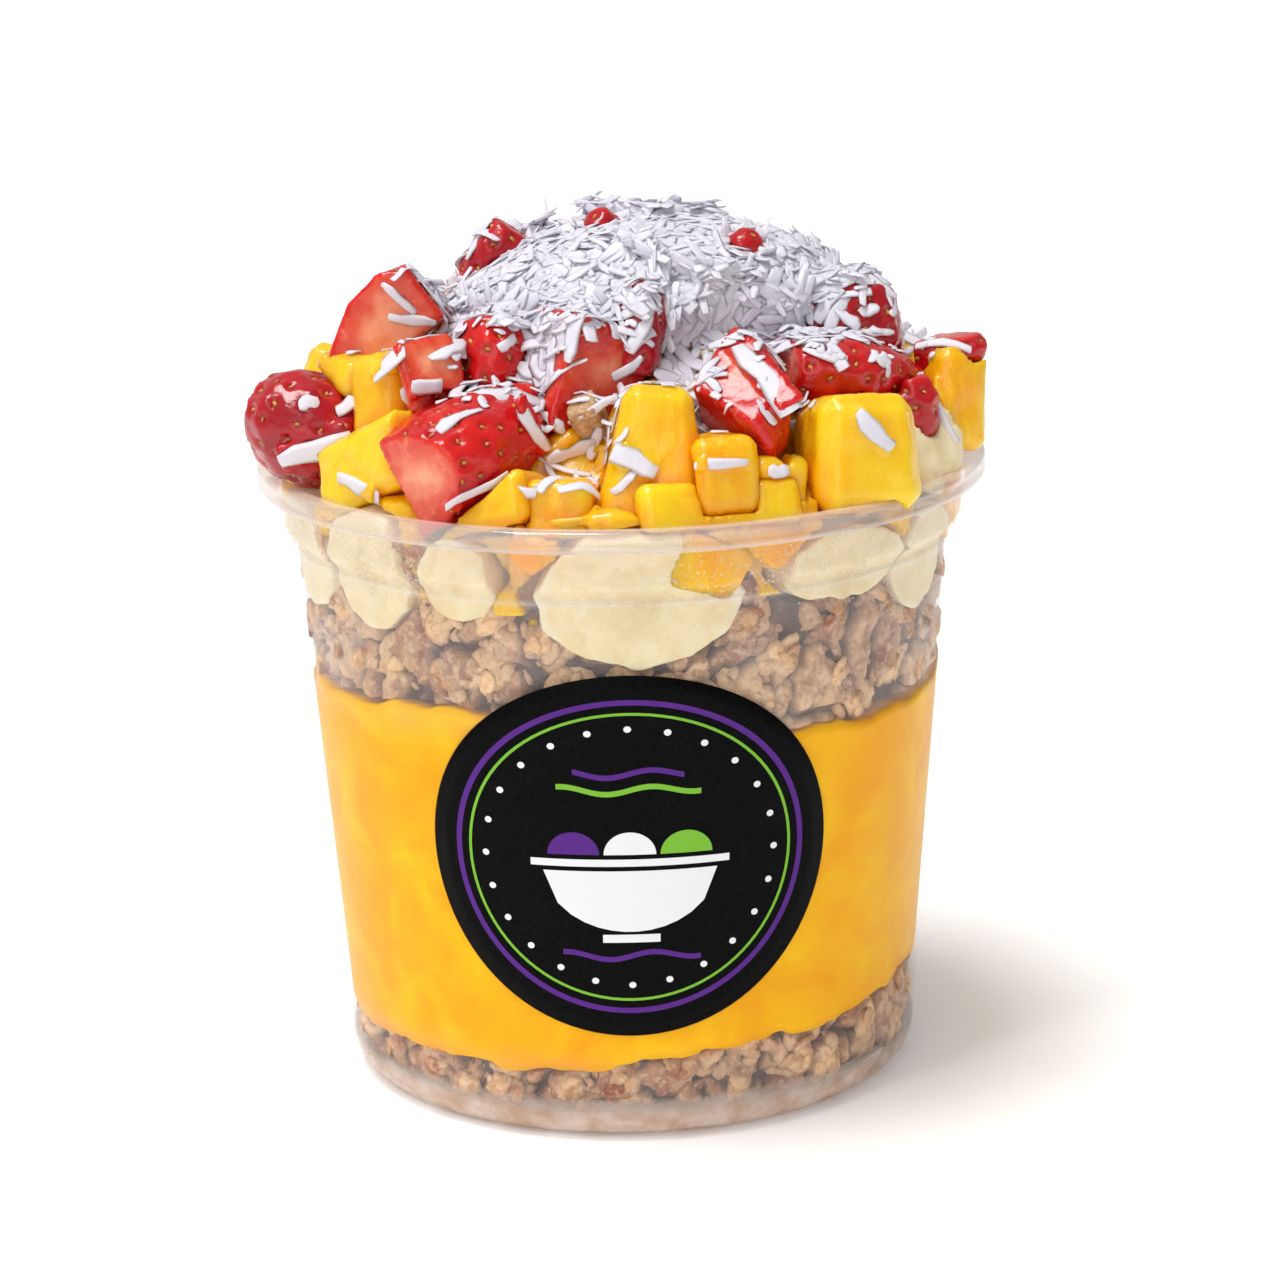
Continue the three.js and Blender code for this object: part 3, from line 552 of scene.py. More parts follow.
def smoothie_shader():
    shader = Shader("smoothie", Roughness=0.35, IOR=1.38, Specular_IOR_Level=0.2)
    clouds = shader.blobs(13, 5, 0.6, 0.8)
    fine = shader.blobs(3, 3)
    tone = shader.mix(shader.spread(clouds, 0.38, 0.66), "#f7a800", "#ffc20a")
    tone = shader.mix(shader.spread(fine, 0.5, 0.75, 0, 0.25), tone, "#f49e00")
    shader.set("Base Color", tone)
    shader.bump(fine, 0.1)
    return soft_inside(shader, 0.15, 2, (1.0, 0.6, 0.1)).material


def plastic_shader(name, clear, fogged, edge, tone="#e9e1dd"):
    """Thin clear plastic. It is milky at a slant and where its fog is high. The foot band is milkier,
    with painted light: blotches standing in for the granola and the light seen through it.

    clear and fogged are its opacity seen face on, and edge is what a slanting view adds.
    """
    shader = Shader(name, Roughness=0.1, IOR=2.4)
    milk = shader.attribute("milk")
    # Painted light: blotches that stand in for the granola and the light seen through the foot.
    painted_seen_through = shader.mix(shader.spread(shader.blobs(5, 3), 0.4, 0.62), "#e4c8b4", "#c2946c")
    shader.set("Base Color", shader.mix(milk, tone, painted_seen_through))
    slant = shader.node("ShaderNodeLayerWeight")
    slant.inputs["Blend"].default_value = 0.35
    patches = shader.spread(shader.blobs(9, 3), 0.3, 0.7, 0.55, 1.3)
    fog = shader.combine("MULTIPLY", shader.attribute("fog"), patches)
    face_on = shader.spread(fog, 0, 8, clear, clear + 8 * (fogged - clear))
    slanted = shader.spread(slant.outputs["Facing"], 0.35, 1, 0, edge)
    slanted = shader.combine("MULTIPLY", slanted, shader.spread(fog, 0, 1, 0.1, 1))
    alpha = shader.combine("ADD", face_on, slanted)
    milky = shader.combine("MULTIPLY", milk, MILKY_FOOT["alpha"])
    shader.set("Alpha", shader.combine("MAXIMUM", alpha, milky))
    shader.bump(shader.blobs(6, 2), 0.05)
    return shader.material


def drop_shader():
    shader = Shader("drops", Roughness=0.25, IOR=1.33)
    shader.set("Base Color", "#f2ece6")
    shader.set("Alpha", shader.spread(shader.blobs(2, 1), 0.3, 0.7, 0.15, 0.4))
    return shader.material


def print_shader(name, tone, rough=0.45):
    """Printed paper with a faint grain."""
    shader = Shader(name, Roughness=rough, IOR=1.3, Specular_IOR_Level=0.12)
    grain = shader.blobs(0.5, 2)
    shade = shader.mix(shader.spread(grain, 0.3, 0.8, 0, 0.02), tone, "#8a8a8a")
    shader.set("Base Color", shade)
    shader.bump(grain, 0.004)
    return shader.material


# ---- the tub ------------------------------------------------------------------------------


def arc(centre, radius, start, end, steps):
    """Points of an arc, with angles in degrees from the outward direction."""
    angles = np.linspace(start, end, steps) * DEGREE
    return [(centre[0] + radius * math.cos(a), centre[1] + radius * math.sin(a)) for a in angles]


def corner_curve(radius, height, foot, base):
    """The rounded corner from the wall down to the foot."""
    angles = np.linspace(0, 90, TUB["corner_steps"]) * DEGREE
    return [
        (foot + (radius - foot) * math.cos(a), height - (height - base) * math.sin(a))
        for a in angles
    ]


def outside_radius(height):
    places = (TUB["corner_height"], TUB["shoulder_height"])
    return np.interp(height, places, (TUB["corner_radius"], TUB["shoulder_radius"]))


def inside_profile():
    """(radius, height) points of the inside, from the floor up."""
    floor_radius = TUB["foot_radius"] - TUB["foot_width"] / 2
    wall_foot = TUB["corner_radius"] - TUB["wall"]
    corner = corner_curve(wall_foot, TUB["corner_height"] + 1.4, floor_radius, TUB["floor"])
    collar = TUB["collar_radius"] - TUB["wall"]
    return [
        *reversed(corner),
        (TUB["shoulder_radius"] - TUB["wall"], TUB["shoulder_height"] + 0.3),
        (collar - 0.2, TUB["collar_foot"] - 0.4),
        (collar, TUB["collar_foot"] + 0.4),
        (collar, TUB["height"] - 1.2),
    ]


def inside_radius(height):
    profile = inside_profile()
    return np.interp(height, [z for _, z in profile], [r for r, _ in profile])


def tub_profile():
    """The closed section, from the axis under the base, out and up, and back down inside."""
    ring = TUB["foot_radius"] - TUB["foot_width"]
    base = [(ring - 1.2, TUB["recess"]), (ring - 0.6, TUB["recess"] - 0.3), (ring - 0.2, 0.2)]
    foot = [(ring, 0), (TUB["foot_radius"] - 0.2, 0)]
    corner = corner_curve(TUB["corner_radius"], TUB["corner_height"], TUB["foot_radius"], 0)
    shoulder = TUB["shoulder_height"]
    heights = np.linspace(TUB["corner_height"], shoulder - 1.6, WALL_ROWS)[1:]
    bead = [
        *((outside_radius(height), height) for height in heights),
        (TUB["bead_radius"] - 0.1, shoulder - 1.1),
        (TUB["bead_radius"], shoulder - 0.5),
        (TUB["bead_radius"] - 0.1, shoulder),
        (TUB["shoulder_radius"] + 0.15, shoulder + 0.5),
        (TUB["collar_radius"] - 0.3, TUB["collar_foot"] - 0.4),
        (TUB["collar_radius"], TUB["collar_foot"] + 0.4),
    ]
    rim_foot = TUB["height"] - TUB["rim_depth"]
    roll = 0.75
    edge = TUB["rim_radius"] - roll
    rim = [
        (TUB["collar_radius"] + 0.1, rim_foot - 0.8),
        (TUB["collar_radius"] + 0.7, rim_foot),
        *arc((edge, rim_foot + roll), roll, -90, 20, 6),
        (TUB["rim_radius"] - 0.35, rim_foot + 1.75),
        *arc((edge, TUB["height"] - roll), roll, -20, 90, 6),
        (TUB["rim_inside"] + 1.6, TUB["height"]),
        (TUB["rim_inside"] + 0.6, TUB["height"] - 0.2),
        (TUB["rim_inside"] + 0.1, TUB["height"] - 0.7),
    ]
    inside = list(reversed(inside_profile()))
    return base + foot + list(reversed(corner)) + bead + rim + inside


def make_tub():
    profile = tub_profile()
    angles = full_turn(TUB["segments"])
    rings = np.array([
        np.stack([*aside(angles, radius), np.full_like(angles, height)], axis=-1)
        for radius, height in profile
    ])
    points, faces = capped_grid(rings, (0, 0, TUB["recess"]), (0, 0, TUB["floor"]))
    wall = plastic_shader("clear_wall", 0.006, 0.06, 0.26)
    rim = plastic_shader("clear_rim", 0.38, 0.38, 0.4, "#e6dad0")
    tub = new_piece("clear_tub", points, faces, "clear_tub", [wall, rim])
    rim_foot = (TUB["height"] - TUB["rim_depth"] - 0.9) * MM
    for face in tub.data.polygons:
        in_rim = face.center.z > rim_foot and face.center.xy.length > TUB["rim_inside"] * MM
        face.material_index = int(in_rim)
    height = points[:, 2] + 0.5 * layered_noise(points, 7, 2, 6)
    # The foot band's mask, for its milkiness and its painted light.
    milk = 1 - smoothstep(MILKY_FOOT["low"], MILKY_FOOT["high"], height)
    set_attributes(tub.data, fog=fog_at(points), milk=milk)
    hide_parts("tub")


def fog_at(points):
    """Where dry food and damp air have fogged the wall. Smoothie clears it. The bead gets a painted
    highlight, a milkier line all round.
    """
    height = points[:, 2] + FOG["swing"] * layered_noise(points, 8, 3, 2)
    low, high = FOG["smoothie"]
    soft = FOG["soft"]
    above = smoothstep(low - soft, low + soft, height)
    wet = above * (1 - smoothstep(high - soft, high + soft, height))
    collar = smoothstep(TUB["shoulder_height"] - soft, TUB["collar_foot"] + soft, height)
    # Painted highlight: a milkier line along the bead.
    bead = np.exp(-(((points[:, 2] - BEAD_LINE["height"]) / BEAD_LINE["half"]) ** 2))
    centre = (*aside(WET_PATCH["azimuth"] * DEGREE, TUB["collar_radius"]), WET_PATCH["height"])
    dry = smoothstep(0.5, 1, np.linalg.norm(points - centre, axis=1) / WET_PATCH["reach"])
    return (1 - wet + FOG["collar"] * collar) * dry + BEAD_LINE["fog"] * bead


# Condensation: (azimuth, its spread, height, its spread) of each patch, and its number of drops.
DROPS = {
    "patches": ((27, 13, 92, 3), (-44, 6, 92, 3), (150, 40, 93, 3), (-120, 30, 93, 3)),
    "count": 420,
    "width": (0.14, 0.4),
    "longer": (0.9, 1.3),  # length, as a share of the width
    "flat": 0.4,  # thickness, as a share of the width
}


def make_drops():
    """Small flat drops on the outside of the collar."""
    rng = np.random.default_rng(29)
    parts = []
    for azimuth, swing, height, rise in DROPS["patches"]:
        for _ in range(DROPS["count"]):
            angle = rng.normal(azimuth, swing) * DEGREE
            level = rng.normal(height, rise)
            wide = rng.uniform(*DROPS["width"])
            outward = np.array([*aside(angle, 1.0), 0])
            place = outward * (outer_face(level) + 0.02) + (0, 0, level)
            size = (wide, wide * rng.uniform(*DROPS["longer"]), DROPS["flat"] * wide)
            parts.append(pebble(place, turned_to(outward, 0), size, 0.15, rng, 8))
    drops = new_piece("wall_drops", *joined(parts), "clear_tub", [drop_shader()])
    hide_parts("tub")


def outer_face(height):
    """The outside radius of the wall and the collar."""
    places = (TUB["shoulder_height"] + 0.5, TUB["collar_foot"])
    collar = (TUB["shoulder_radius"], TUB["collar_radius"])
    return outside_radius(height) if height < places[0] else np.interp(height, places, collar)


# ---- the label ----------------------------------------------------------------------------

LABEL = {"middle": 47.8, "half_width": 32.2, "half_height": 29.6, "lift": 0.03, "thickness": 0.12}
LABEL_GRID = {"sides": 96, "rings": 12, "inner": 0.06}  # inner is the smallest ring's share
INK_LIFT = 0.05  # how far the ink stands on the label

# In the order of their motifs, after the black of the ground.
INKS = {"white": "#ededee", "purple": "#5b2d86", "green": "#7dbb3c"}

# The label's picture, in shares of its half size. The lip and the foot have a half width and the
# heights of their lower and upper edges.
BOWL = {"half": 0.42, "depth": 0.34, "top": -0.07}
BOWL_LIP = (0.48, -0.045, -0.005)
BOWL_FOOT = (0.14, -0.47, -0.425)
SCOOP = {"radius": 0.125, "apart": 0.27, "lift": 0.09}
DOTS = {"ring": 0.71, "radius": 0.018, "every": 15}  # every so many degrees
RINGS = {"purple": (0.84, 0.87), "green": (0.785, 0.80)}
WAVES = {"lobes": 15, "swing": 0.02, "width": 0.03}
WAVE_ROWS = {"purple": ((0.34, -0.56), (0.26, 0.45)), "green": ((0.34, 0.36),)}  # half length, height
DOT = 0.001  # the inner radius of a full disc


def on_label(flat, lift):
    """Places on the wall of flat points given as shares of the label's half width and height."""
    height = LABEL["middle"] + flat[:, 1] * LABEL["half_height"]
    azimuth = flat[:, 0] * LABEL["half_width"] / outside_radius(LABEL["middle"])
    x, y = aside(azimuth, outside_radius(height) + lift)
    return np.stack([x, y, height], axis=-1)


def band(inner, outer, start=0, end=360, steps=96, centre=(0, 0)):
    """A flat band between two radii, from one angle to another."""
    angles = np.linspace(start, end, steps + 1) * DEGREE
    rows = [
        np.stack([centre[0] + r * np.cos(angles), centre[1] + r * np.sin(angles)], axis=-1)
        for r in (inner, outer)
    ]
    return np.concatenate(rows), grid_faces(2, steps + 1)[:, ::-1]


def patch(left, right, low, high, steps=14):
    """A flat patch between a lower and an upper curve."""
    across = np.linspace(left, right, steps)
    rows = [np.stack([across, curve(across)], axis=-1) for curve in (high, low)]
    return np.concatenate(rows), grid_faces(2, steps)[:, ::-1]


def flat_line(height):
    return lambda x: np.full_like(x, height)


def ripple(height):
    return lambda x: height + WAVES["swing"] * np.sin(x * WAVES["lobes"])


def wave(half, height):
    return patch(-half, half, ripple(height), ripple(height + WAVES["width"]), 40)


def scoop(side):
    """A half disc over the bowl: side is -1 at the left, 0 in the middle and 1 at the right."""
    centre = (side * SCOOP["apart"], BOWL["top"] + SCOOP["lift"])
    return band(DOT, SCOOP["radius"], 0, 180, 24, centre)


def bowl_side(x):
    drop = np.sqrt(np.clip(1 - (x / BOWL["half"]) ** 2, 0, 1))
    return BOWL["top"] - BOWL["depth"] * drop


def slab(half, low, high):
    return patch(-half, half, flat_line(low), flat_line(high))


def white_motifs():
    """A plain bowl with a lip, a foot and a scoop, inside a ring of dots."""
    bowl = patch(-BOWL["half"], BOWL["half"], bowl_side, flat_line(BOWL["top"]))
    motifs = [bowl, slab(*BOWL_LIP), slab(*BOWL_FOOT), scoop(0)]
    for turn in range(0, 360, DOTS["every"]):
        spot = (DOTS["ring"] * math.cos(turn * DEGREE), DOTS["ring"] * math.sin(turn * DEGREE))
        motifs.append(band(DOT, DOTS["radius"], steps=10, centre=spot))
    return motifs


def coloured_motifs(ink, side):
    """A ring, a scoop and wavy lines."""
    waves = [wave(half, height) for half, height in WAVE_ROWS[ink]]
    return [band(*RINGS[ink]), scoop(side), *waves]


def make_label():
    """A sticker on the wall, with raised ink."""
    outline = full_turn(LABEL_GRID["sides"])
    circle = np.stack([np.cos(outline), np.sin(outline)], axis=-1)
    top = LABEL["lift"] + LABEL["thickness"]
    shares = np.linspace(LABEL_GRID["inner"], 1, LABEL_GRID["rings"])
    rings = [on_label(circle * share, top) for share in shares]
    rings += [on_label(circle * share, LABEL["lift"]) for share in reversed(shares)]
    first, last = (on_label(np.zeros((1, 2)), lift)[0] for lift in (top, LABEL["lift"]))
    parts = [capped_grid(np.array(rings), first, last)]
    slots = [0] * len(parts[0][1])
    motifs = [white_motifs(), coloured_motifs("purple", -1), coloured_motifs("green", 1)]
    for ink, shapes in enumerate(motifs, start=1):
        for flat, faces in shapes:
            parts.append((on_label(flat, top + INK_LIFT), faces))
            slots.extend([ink] * len(faces))
    inks = [print_shader("label_black", "#020202", 0.5)]
    inks += [print_shader("label_" + ink, tone) for ink, tone in INKS.items()]
    label = new_piece("round_label", *joined(parts), "label", inks)
    label.data.polygons.foreach_set("material_index", slots)
    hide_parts("label")


# ---- the layers ---------------------------------------------------------------------------


def wall_lines(node, count):
    """Azimuths evenly round the wall, and the heights of a layer's lower and upper edge there."""
    tree = surface_tree([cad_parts[node]])
    low, high = ((corner / MM).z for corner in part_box(node))
    angles = full_turn(count)
    x, y = aside(angles, inside_radius((low + high) / 2) - 4)
    edges = []
    for start, way in ((low - 1, Vector((0, 0, 1))), (high + 1, Vector((0, 0, -1)))):
        heights = np.array([tree.ray_cast(Vector((*spot, start)), way)[0].z for spot in zip(x, y)])
        for _ in range(count // 40):
            heights = (np.roll(heights, 1) + heights + np.roll(heights, -1)) / 3
        edges.append(heights)
    return angles, *edges


def layer_rings(angles, low, high, rows):
    """Rings of points of a layer that fills the tub, from its lower edge up."""
    rings = []
    for share in np.linspace(0, 1, rows):
        height = low + (high - low) * share
        radius = inside_radius(height) + INTO_WALL
        rings.append(np.stack([*aside(angles, radius), height], axis=-1))
    return np.array(rings)


LIDS = (0.97, 0.85, 0.5)  # shares of a layer's radius at which its lids have rings


def with_lids(rings):
    """Adds rings that run in towards the axis under and over the layer."""
    def lid(ring, share):
        flat = ring.copy()
        flat[:, :2] *= share
        flat[:, 2] = ring[:, 2] * share + ring[:, 2].mean() * (1 - share)
        return flat

    under = [lid(rings[0], share) for share in reversed(LIDS)]
    over = [lid(rings[-1], share) for share in LIDS]
    return np.concatenate([under, rings, over])


def closed_layer(rings):
    """Points and faces of a layer, closed on the axis under and over it."""
    first, last = ((0, 0, ring[:, 2].mean()) for ring in (rings[0], rings[-1]))
    return capped_grid(rings, first, last)


def make_smoothie():
    angles, low, high = wall_lines("smoothie", 360)
    circle = np.stack([*aside(angles, WALL_RADIUS), angles * 0], axis=-1)
    high = high + 2.0 * layered_noise(circle, 7, 4, 3)
    low = low + 2.6 * layered_noise(circle, 8, 4, 5)
    points, faces = closed_layer(with_lids(layer_rings(angles, low, high, 30)))
    smoothie = new_piece("mango_smoothie", points, faces, "smoothie", [smoothie_shader()])
    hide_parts("smoothie")


def lump_field(points, size, seed):
    """How far each point is inside its lump, 0 at the edge to 1, and its lump's tone."""
    rng = np.random.default_rng(seed)
    low, high = points.min(0), points.max(0)
    area = math.tau * WALL_RADIUS * max(high[2] - low[2], 4)
    count = int(area / size**2 * 1.15)
    azimuth = rng.uniform(0, math.tau, count)
    height = rng.uniform(low[2] - 1, high[2] + 1, count)
    x, y = aside(azimuth, inside_radius(height))
    numbers, farther = cells(points, np.stack([x, y, height], axis=-1))
    tones = rng.uniform(0, 1, count)
    return np.minimum(farther / (0.5 * size), 1), tones[numbers]


CORE = {
    "rise": 0.6,  # height of a row of points
    "warp": 1.8,  # how far the lumps' outlines wander
    "least": 0.5,  # depth behind the wall
    "groove": 2.2,  # how much deeper the gaps between lumps are
    "rough": 1.1,  # how much deeper its rough spots are
    "dark": (0.6, 2.6),  # the depths between which its painted shade darkens
}


def make_granola(node, name, lump, seed, shader, more=()):
    """A layer of clusters pressed against the wall over a core with deep gaps."""
    count = 480
    angles, low, high = wall_lines(node, count)
    rows = max(int((high.mean() - low.mean()) / CORE["rise"]), 8)
    wall = layer_rings(angles, low, high, rows)
    flat = wall.reshape(-1, 3)
    wander = np.stack([layered_noise(flat, 4, 2, seed + k) for k in range(3)], axis=-1)
    inside, tone = lump_field(flat + CORE["warp"] * wander, lump, seed)
    rough = layered_noise(flat, 2.2, 3, seed)
    groove = CORE["groove"] * (1 - smoothstep(0.0, 0.7, inside))
    depth = CORE["least"] + groove + CORE["rough"] * np.clip(rough + 0.2, 0, 1)
    radius = np.hypot(flat[:, 0], flat[:, 1])
    flat[:, :2] *= ((radius - depth) / radius)[:, None]
    points, faces = closed_layer(with_lids(wall))
    layer = new_piece(name, points, faces, "granola", [shader])
    first = len(LIDS) * count
    on_wall = slice(first, first + len(flat))
    # Painted shade: the core darkens where it lies deep behind the wall, between the lumps.
    gap = np.zeros(len(points))
    gap[on_wall] = smoothstep(*CORE["dark"], depth)
    tones = np.full(len(points), 0.5)
    # The tone differs at random from lump to lump, and is darker on the deeper rough spots: painted
    # shade.
    tones[on_wall] = np.clip(0.3 + 0.6 * tone + 0.35 * rough, 0, 1)
    set_attributes(layer.data, gap=gap, tone=tones)
    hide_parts(node)
    rng = np.random.default_rng(seed + 1)
    spots = [*cluster_spots(angles, low + 1.2, high - 0.8, seed, rng), *more]
    make_oats(node, name + "_oats", spots, shader, rng)


# Where granola fills the gaps between the slices: its heights, and how deep a gap has to be.
BETWEEN_SLICES = {"low": 86.0, "high": 95.5, "depth": 5}

OATS = {
    "apart": 7.2,  # the middles of neighbouring clusters
    "tries": 14,  # places tried for each that is taken, roughly
    "reach": 4.2,  # of a cluster along the wall
    "dome": 2.3,  # how much deeper its edge lies than its middle
    "count": (13, 19),  # oats in a cluster
    "length": (3.2, 6),
    "width": (2.4, 4.2),
    "depth": (1.0, 1.9),
    "lean": 0.55,  # of the outer oats
    "tilt": 0.3,
    "uneven": (-0.2, 0.5),  # how much deeper than its place an oat lies
    "tone": 0.75,  # the darkest cluster
    "tone_swing": 0.3,  # within a cluster
    "crumbs": 3,  # for each cluster
    "crumb": (0.9, 2.0),
    "crumb_reach": 1.35,  # as a share of the cluster's reach
}


def cluster_spots(angles, low, high, seed, rng):
    """(azimuth, height) of clusters spread over a band of the wall."""
    area = math.tau * inside_radius(low.mean()) * (high - low).mean()
    tries = int(area / OATS["apart"] ** 2 * OATS["tries"])
    azimuths = rng.uniform(0, math.tau, tries)
    foot = np.interp(azimuths, angles, low)
    heights = foot + rng.uniform(0, 1, tries) * (np.interp(azimuths, angles, high) - foot)
    places = np.stack([*aside(azimuths, inside_radius(heights)), heights], axis=-1)
    return [(azimuths[i], heights[i]) for i in spread_out(places, OATS["apart"], seed)]


def oat_shape(azimuth, height, crumb, rng):
    """An oat flake, or a crumb, of the cluster at an azimuth and a height of the wall."""
    size = [rng.uniform(*OATS[key]) for key in ("length", "width", "depth")]
    reach = OATS["reach"]
    if crumb:
        size = rng.uniform(*OATS["crumb"], 3)
        reach *= OATS["crumb_reach"]
    away = reach * math.sqrt(rng.uniform())
    turn = rng.uniform(0, math.tau)
    level = height + away * math.sin(turn)
    angle = azimuth + away * math.cos(turn) / inside_radius(height)
    outward = np.array([*aside(angle, 1.0), 0])
    sideways = np.array([*aside(angle + math.pi / 2, 1.0), 0])
    slope = sideways * math.cos(turn) + np.array([0, 0, math.sin(turn)])
    share = away / OATS["reach"]
    normal = unit(outward + share * OATS["lean"] * slope + rng.normal(0, OATS["tilt"], 3))
    inwards = size[2] / 2 + OATS["dome"] * share**2 + rng.uniform(*OATS["uneven"])
    at = outward * (inside_radius(level) + INTO_WALL - inwards) + (0, 0, level)
    spin = turned_to(normal, rng.uniform(0, math.tau))
    points, faces = pebble(at, spin, size, 0.35, rng, 11)
    return held_in(points), faces


def make_oats(node, name, spots, shader, rng):
    """Clusters of oat flakes and crumbs pressed against the wall."""
    parts = []
    tones = []
    for azimuth, height in spots:
        cluster_tone = rng.uniform(0, OATS["tone"])
        flakes = int(rng.integers(*OATS["count"]))
        for number in range(flakes + OATS["crumbs"]):
            points, faces = oat_shape(azimuth, height, number >= flakes, rng)
            parts.append((points, faces))
            tone = cluster_tone + rng.uniform(-OATS["tone_swing"], OATS["tone_swing"])
            tones.append(np.full(len(points), np.clip(tone, 0, 1)))
    oats = new_piece(name, *joined(parts), "granola", [shader])
    set_attributes(oats.data, tone=np.concatenate(tones), gap=0)
    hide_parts(node)


def pebble(at, turn, size, wobble, rng, sides):
    """A rounded lump with an uneven outline. turn is its rotation matrix."""
    points, faces = ball(3, sides)
    points *= 1 + wobble * noise(points, 0.9, int(rng.integers(1, 400)))[:, None]
    return (points * np.array(size) / 2) @ turn.T + at, faces


def spots_between(fruit, seed):
    """(azimuth, height) of clusters that fill the wall between the slices above the granola."""
    tree = surface_tree(fruit)
    rng = np.random.default_rng(seed)
    low, high = (np.full(2, BETWEEN_SLICES[edge]) for edge in ("low", "high"))
    spots = []
    for azimuth, height in cluster_spots((0, math.tau), low, high, seed, rng):
        outward = Vector((*aside(azimuth, 1.0), 0))
        wall = inside_radius(height)
        start = outward * TUB["rim_radius"] * 1.2 + Vector((0, 0, height))
        hit = tree.ray_cast(start, -outward)[0]
        if hit is None or hit.xy.length < wall - BETWEEN_SLICES["depth"]:
            spots.append((azimuth, height))
    return spots


def held_in(points):
    """Presses points that stand out through the wall flat against it."""
    radius = np.hypot(points[:, 0], points[:, 1])
    most = inside_radius(points[:, 2]) + INTO_WALL
    pressed = points.copy()
    pressed[:, :2] *= np.minimum(1, most / np.maximum(radius, 1e-6))[:, None]
    return pressed


def pressed_out(points):
    """Spreads what lies close behind the wall against it, so that no air shows between."""
    radius = np.hypot(points[:, 0], points[:, 1])
    wall = inside_radius(points[:, 2])
    low = 1 - smoothstep(TUB["height"] - 3, TUB["height"] - 1.5, points[:, 2])
    near = smoothstep(-2.4, -1.1, radius - wall) * low
    moved = points.copy()
    moved[:, :2] *= (1 + near * (wall + INTO_WALL - radius) / np.maximum(radius, 1e-6))[:, None]
    return moved


# ---- fruit --------------------------------------------------------------------------------


CUTS = {
    "least": 45,  # area of a face that is taken for a cut, in square millimetres
    "share": 0.06,  # and its least share of the whole skin
    "turn": 0.996,  # least cosine between triangles of one face
    "step": 0.25,  # most distance between their planes
}


def flat_faces(node):
    """(normal, distance) in millimetres of the large flat faces of a node."""
    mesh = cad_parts[node].data
    order = sorted(mesh.polygons, key=lambda face: -face.area)
    total = sum(face.area for face in order) / MM**2
    groups = []
    for face in order:
        distance = face.normal.dot(face.center) / MM
        for group in groups:
            same_turn = group[0].dot(face.normal) > CUTS["turn"]
            if same_turn and abs(group[1] - distance) < CUTS["step"]:
                group[2] += face.area / MM**2
                break
        else:
            groups.append([face.normal.copy(), distance, face.area / MM**2])
    needed = max(CUTS["least"], CUTS["share"] * total)
    return [(normal, distance) for normal, distance, area in groups if area > needed]


SEEDS = {
    "apart": 2.9,
    "size": (0.52, 0.3, 0.22),  # half its length, width and thickness
    "taper": 0.35,
    "lift": 0.05,
    "clear": 0.9,  # least distance from a cut
    "pit": 0.85,  # the radius of its dimple
    "pit_depth": 0.5,
    "skin_rise": 0.12,  # of the skin between the dimples
}

# How dark a berry's skin is, from 0 to 1, where it isn't the usual bright red.
SHADES = {4: 1, 6: 0.4, 7: 0.7, 10: 1, 11: 0.6, 12: 0.6, 13: 1, 14: 0.7, 15: 0.5}
BACK_SHADE = 0.45
PALE = {1: 0.15, 2: -0.35, 3: -0.1, 5: 0.2, 8: 0.35}  # how much paler than usual a berry's flesh is


def seed_shape(at, normal, rng):
    """A small flattened pip that lies on the skin."""
    points, faces = ball(3, 8)
    points[:, 0] *= 1 + SEEDS["taper"] * points[:, 0]
    points *= np.array(SEEDS["size"]) * rng.uniform(0.8, 1.15)
    turn = turned_to(normal, rng.uniform(0, math.tau))
    return points @ turn.T + at + normal * SEEDS["lift"], faces


def cut_share(node, points, normals):
    """How much each point belongs to a cut face, from 0 to 1. Flat faces of the node are cuts."""
    cut = np.zeros(len(points))
    for normal, distance in flat_faces(node):
        facing = normals @ np.array(normal)
        away = np.abs(points @ np.array(normal) - distance)
        cut = np.maximum(cut, smoothstep(0.7, 0.92, facing) * (1 - smoothstep(0.8, 1.4, away)))
    return cut


def seed_places(points, cut, skin, seed):
    """Numbers of the points of the skin that carry a pip."""
    places = skin[spread_out(points[skin], SEEDS["apart"], seed)] if len(skin) else skin
    rim = np.flatnonzero(cut > 0.6)
    if len(rim) and len(places):
        places = places[nearest(points[places], points[rim]) > SEEDS["clear"]]
    return places


def make_strawberry(number, shader, seeds):
    """A cut berry: its flat faces are flesh, and the rest is skin with pips in dimples."""
    node = f"strawberry_{number:02d}"
    piece = fine_copy(node, f"berry_{number:02d}", 0.5, 2, 0.35)
    mesh = piece.data
    points = points_of(mesh)
    normals = normals_of(mesh)
    cut = cut_share(node, points, normals)
    skin = np.flatnonzero(cut < 0.2)
    depth = nearest(points, points[skin]) if len(skin) else np.full(len(points), 5.0)
    on_skin = depth < 0.01
    places = seed_places(points, cut, skin, number)
    pit = np.zeros(len(points))
    if len(places):
        pit = np.exp(-((nearest(points, points[places]) / SEEDS["pit"]) ** 2)) * on_skin
    swell = 0.25 * layered_noise(points, 6, 2, number) + 0.12 * layered_noise(points, 1.6, 2, number)
    swell = swell - SEEDS["pit_depth"] * pit + SEEDS["skin_rise"] * (1 - pit) * on_skin
    moved = pressed_out(raised(mesh, swell))
    rng = np.random.default_rng(number)
    for i in places:
        seeds.append(seed_shape(moved[i] + normals[i] * SEEDS["skin_rise"], normals[i], rng))
    tones = {"shade": SHADES.get(number, BACK_SHADE if number > max(SHADES) else 0)}
    tones["pale"] = PALE.get(number, 0)
    return stand_in(piece, node, "strawberry", shader, moved, cut=cut, depth=depth, pit=pit, **tones)


GAP_SHADE_REACH = 3.2  # how far from its neighbours a piece of fruit gets painted shade, a deeper orange


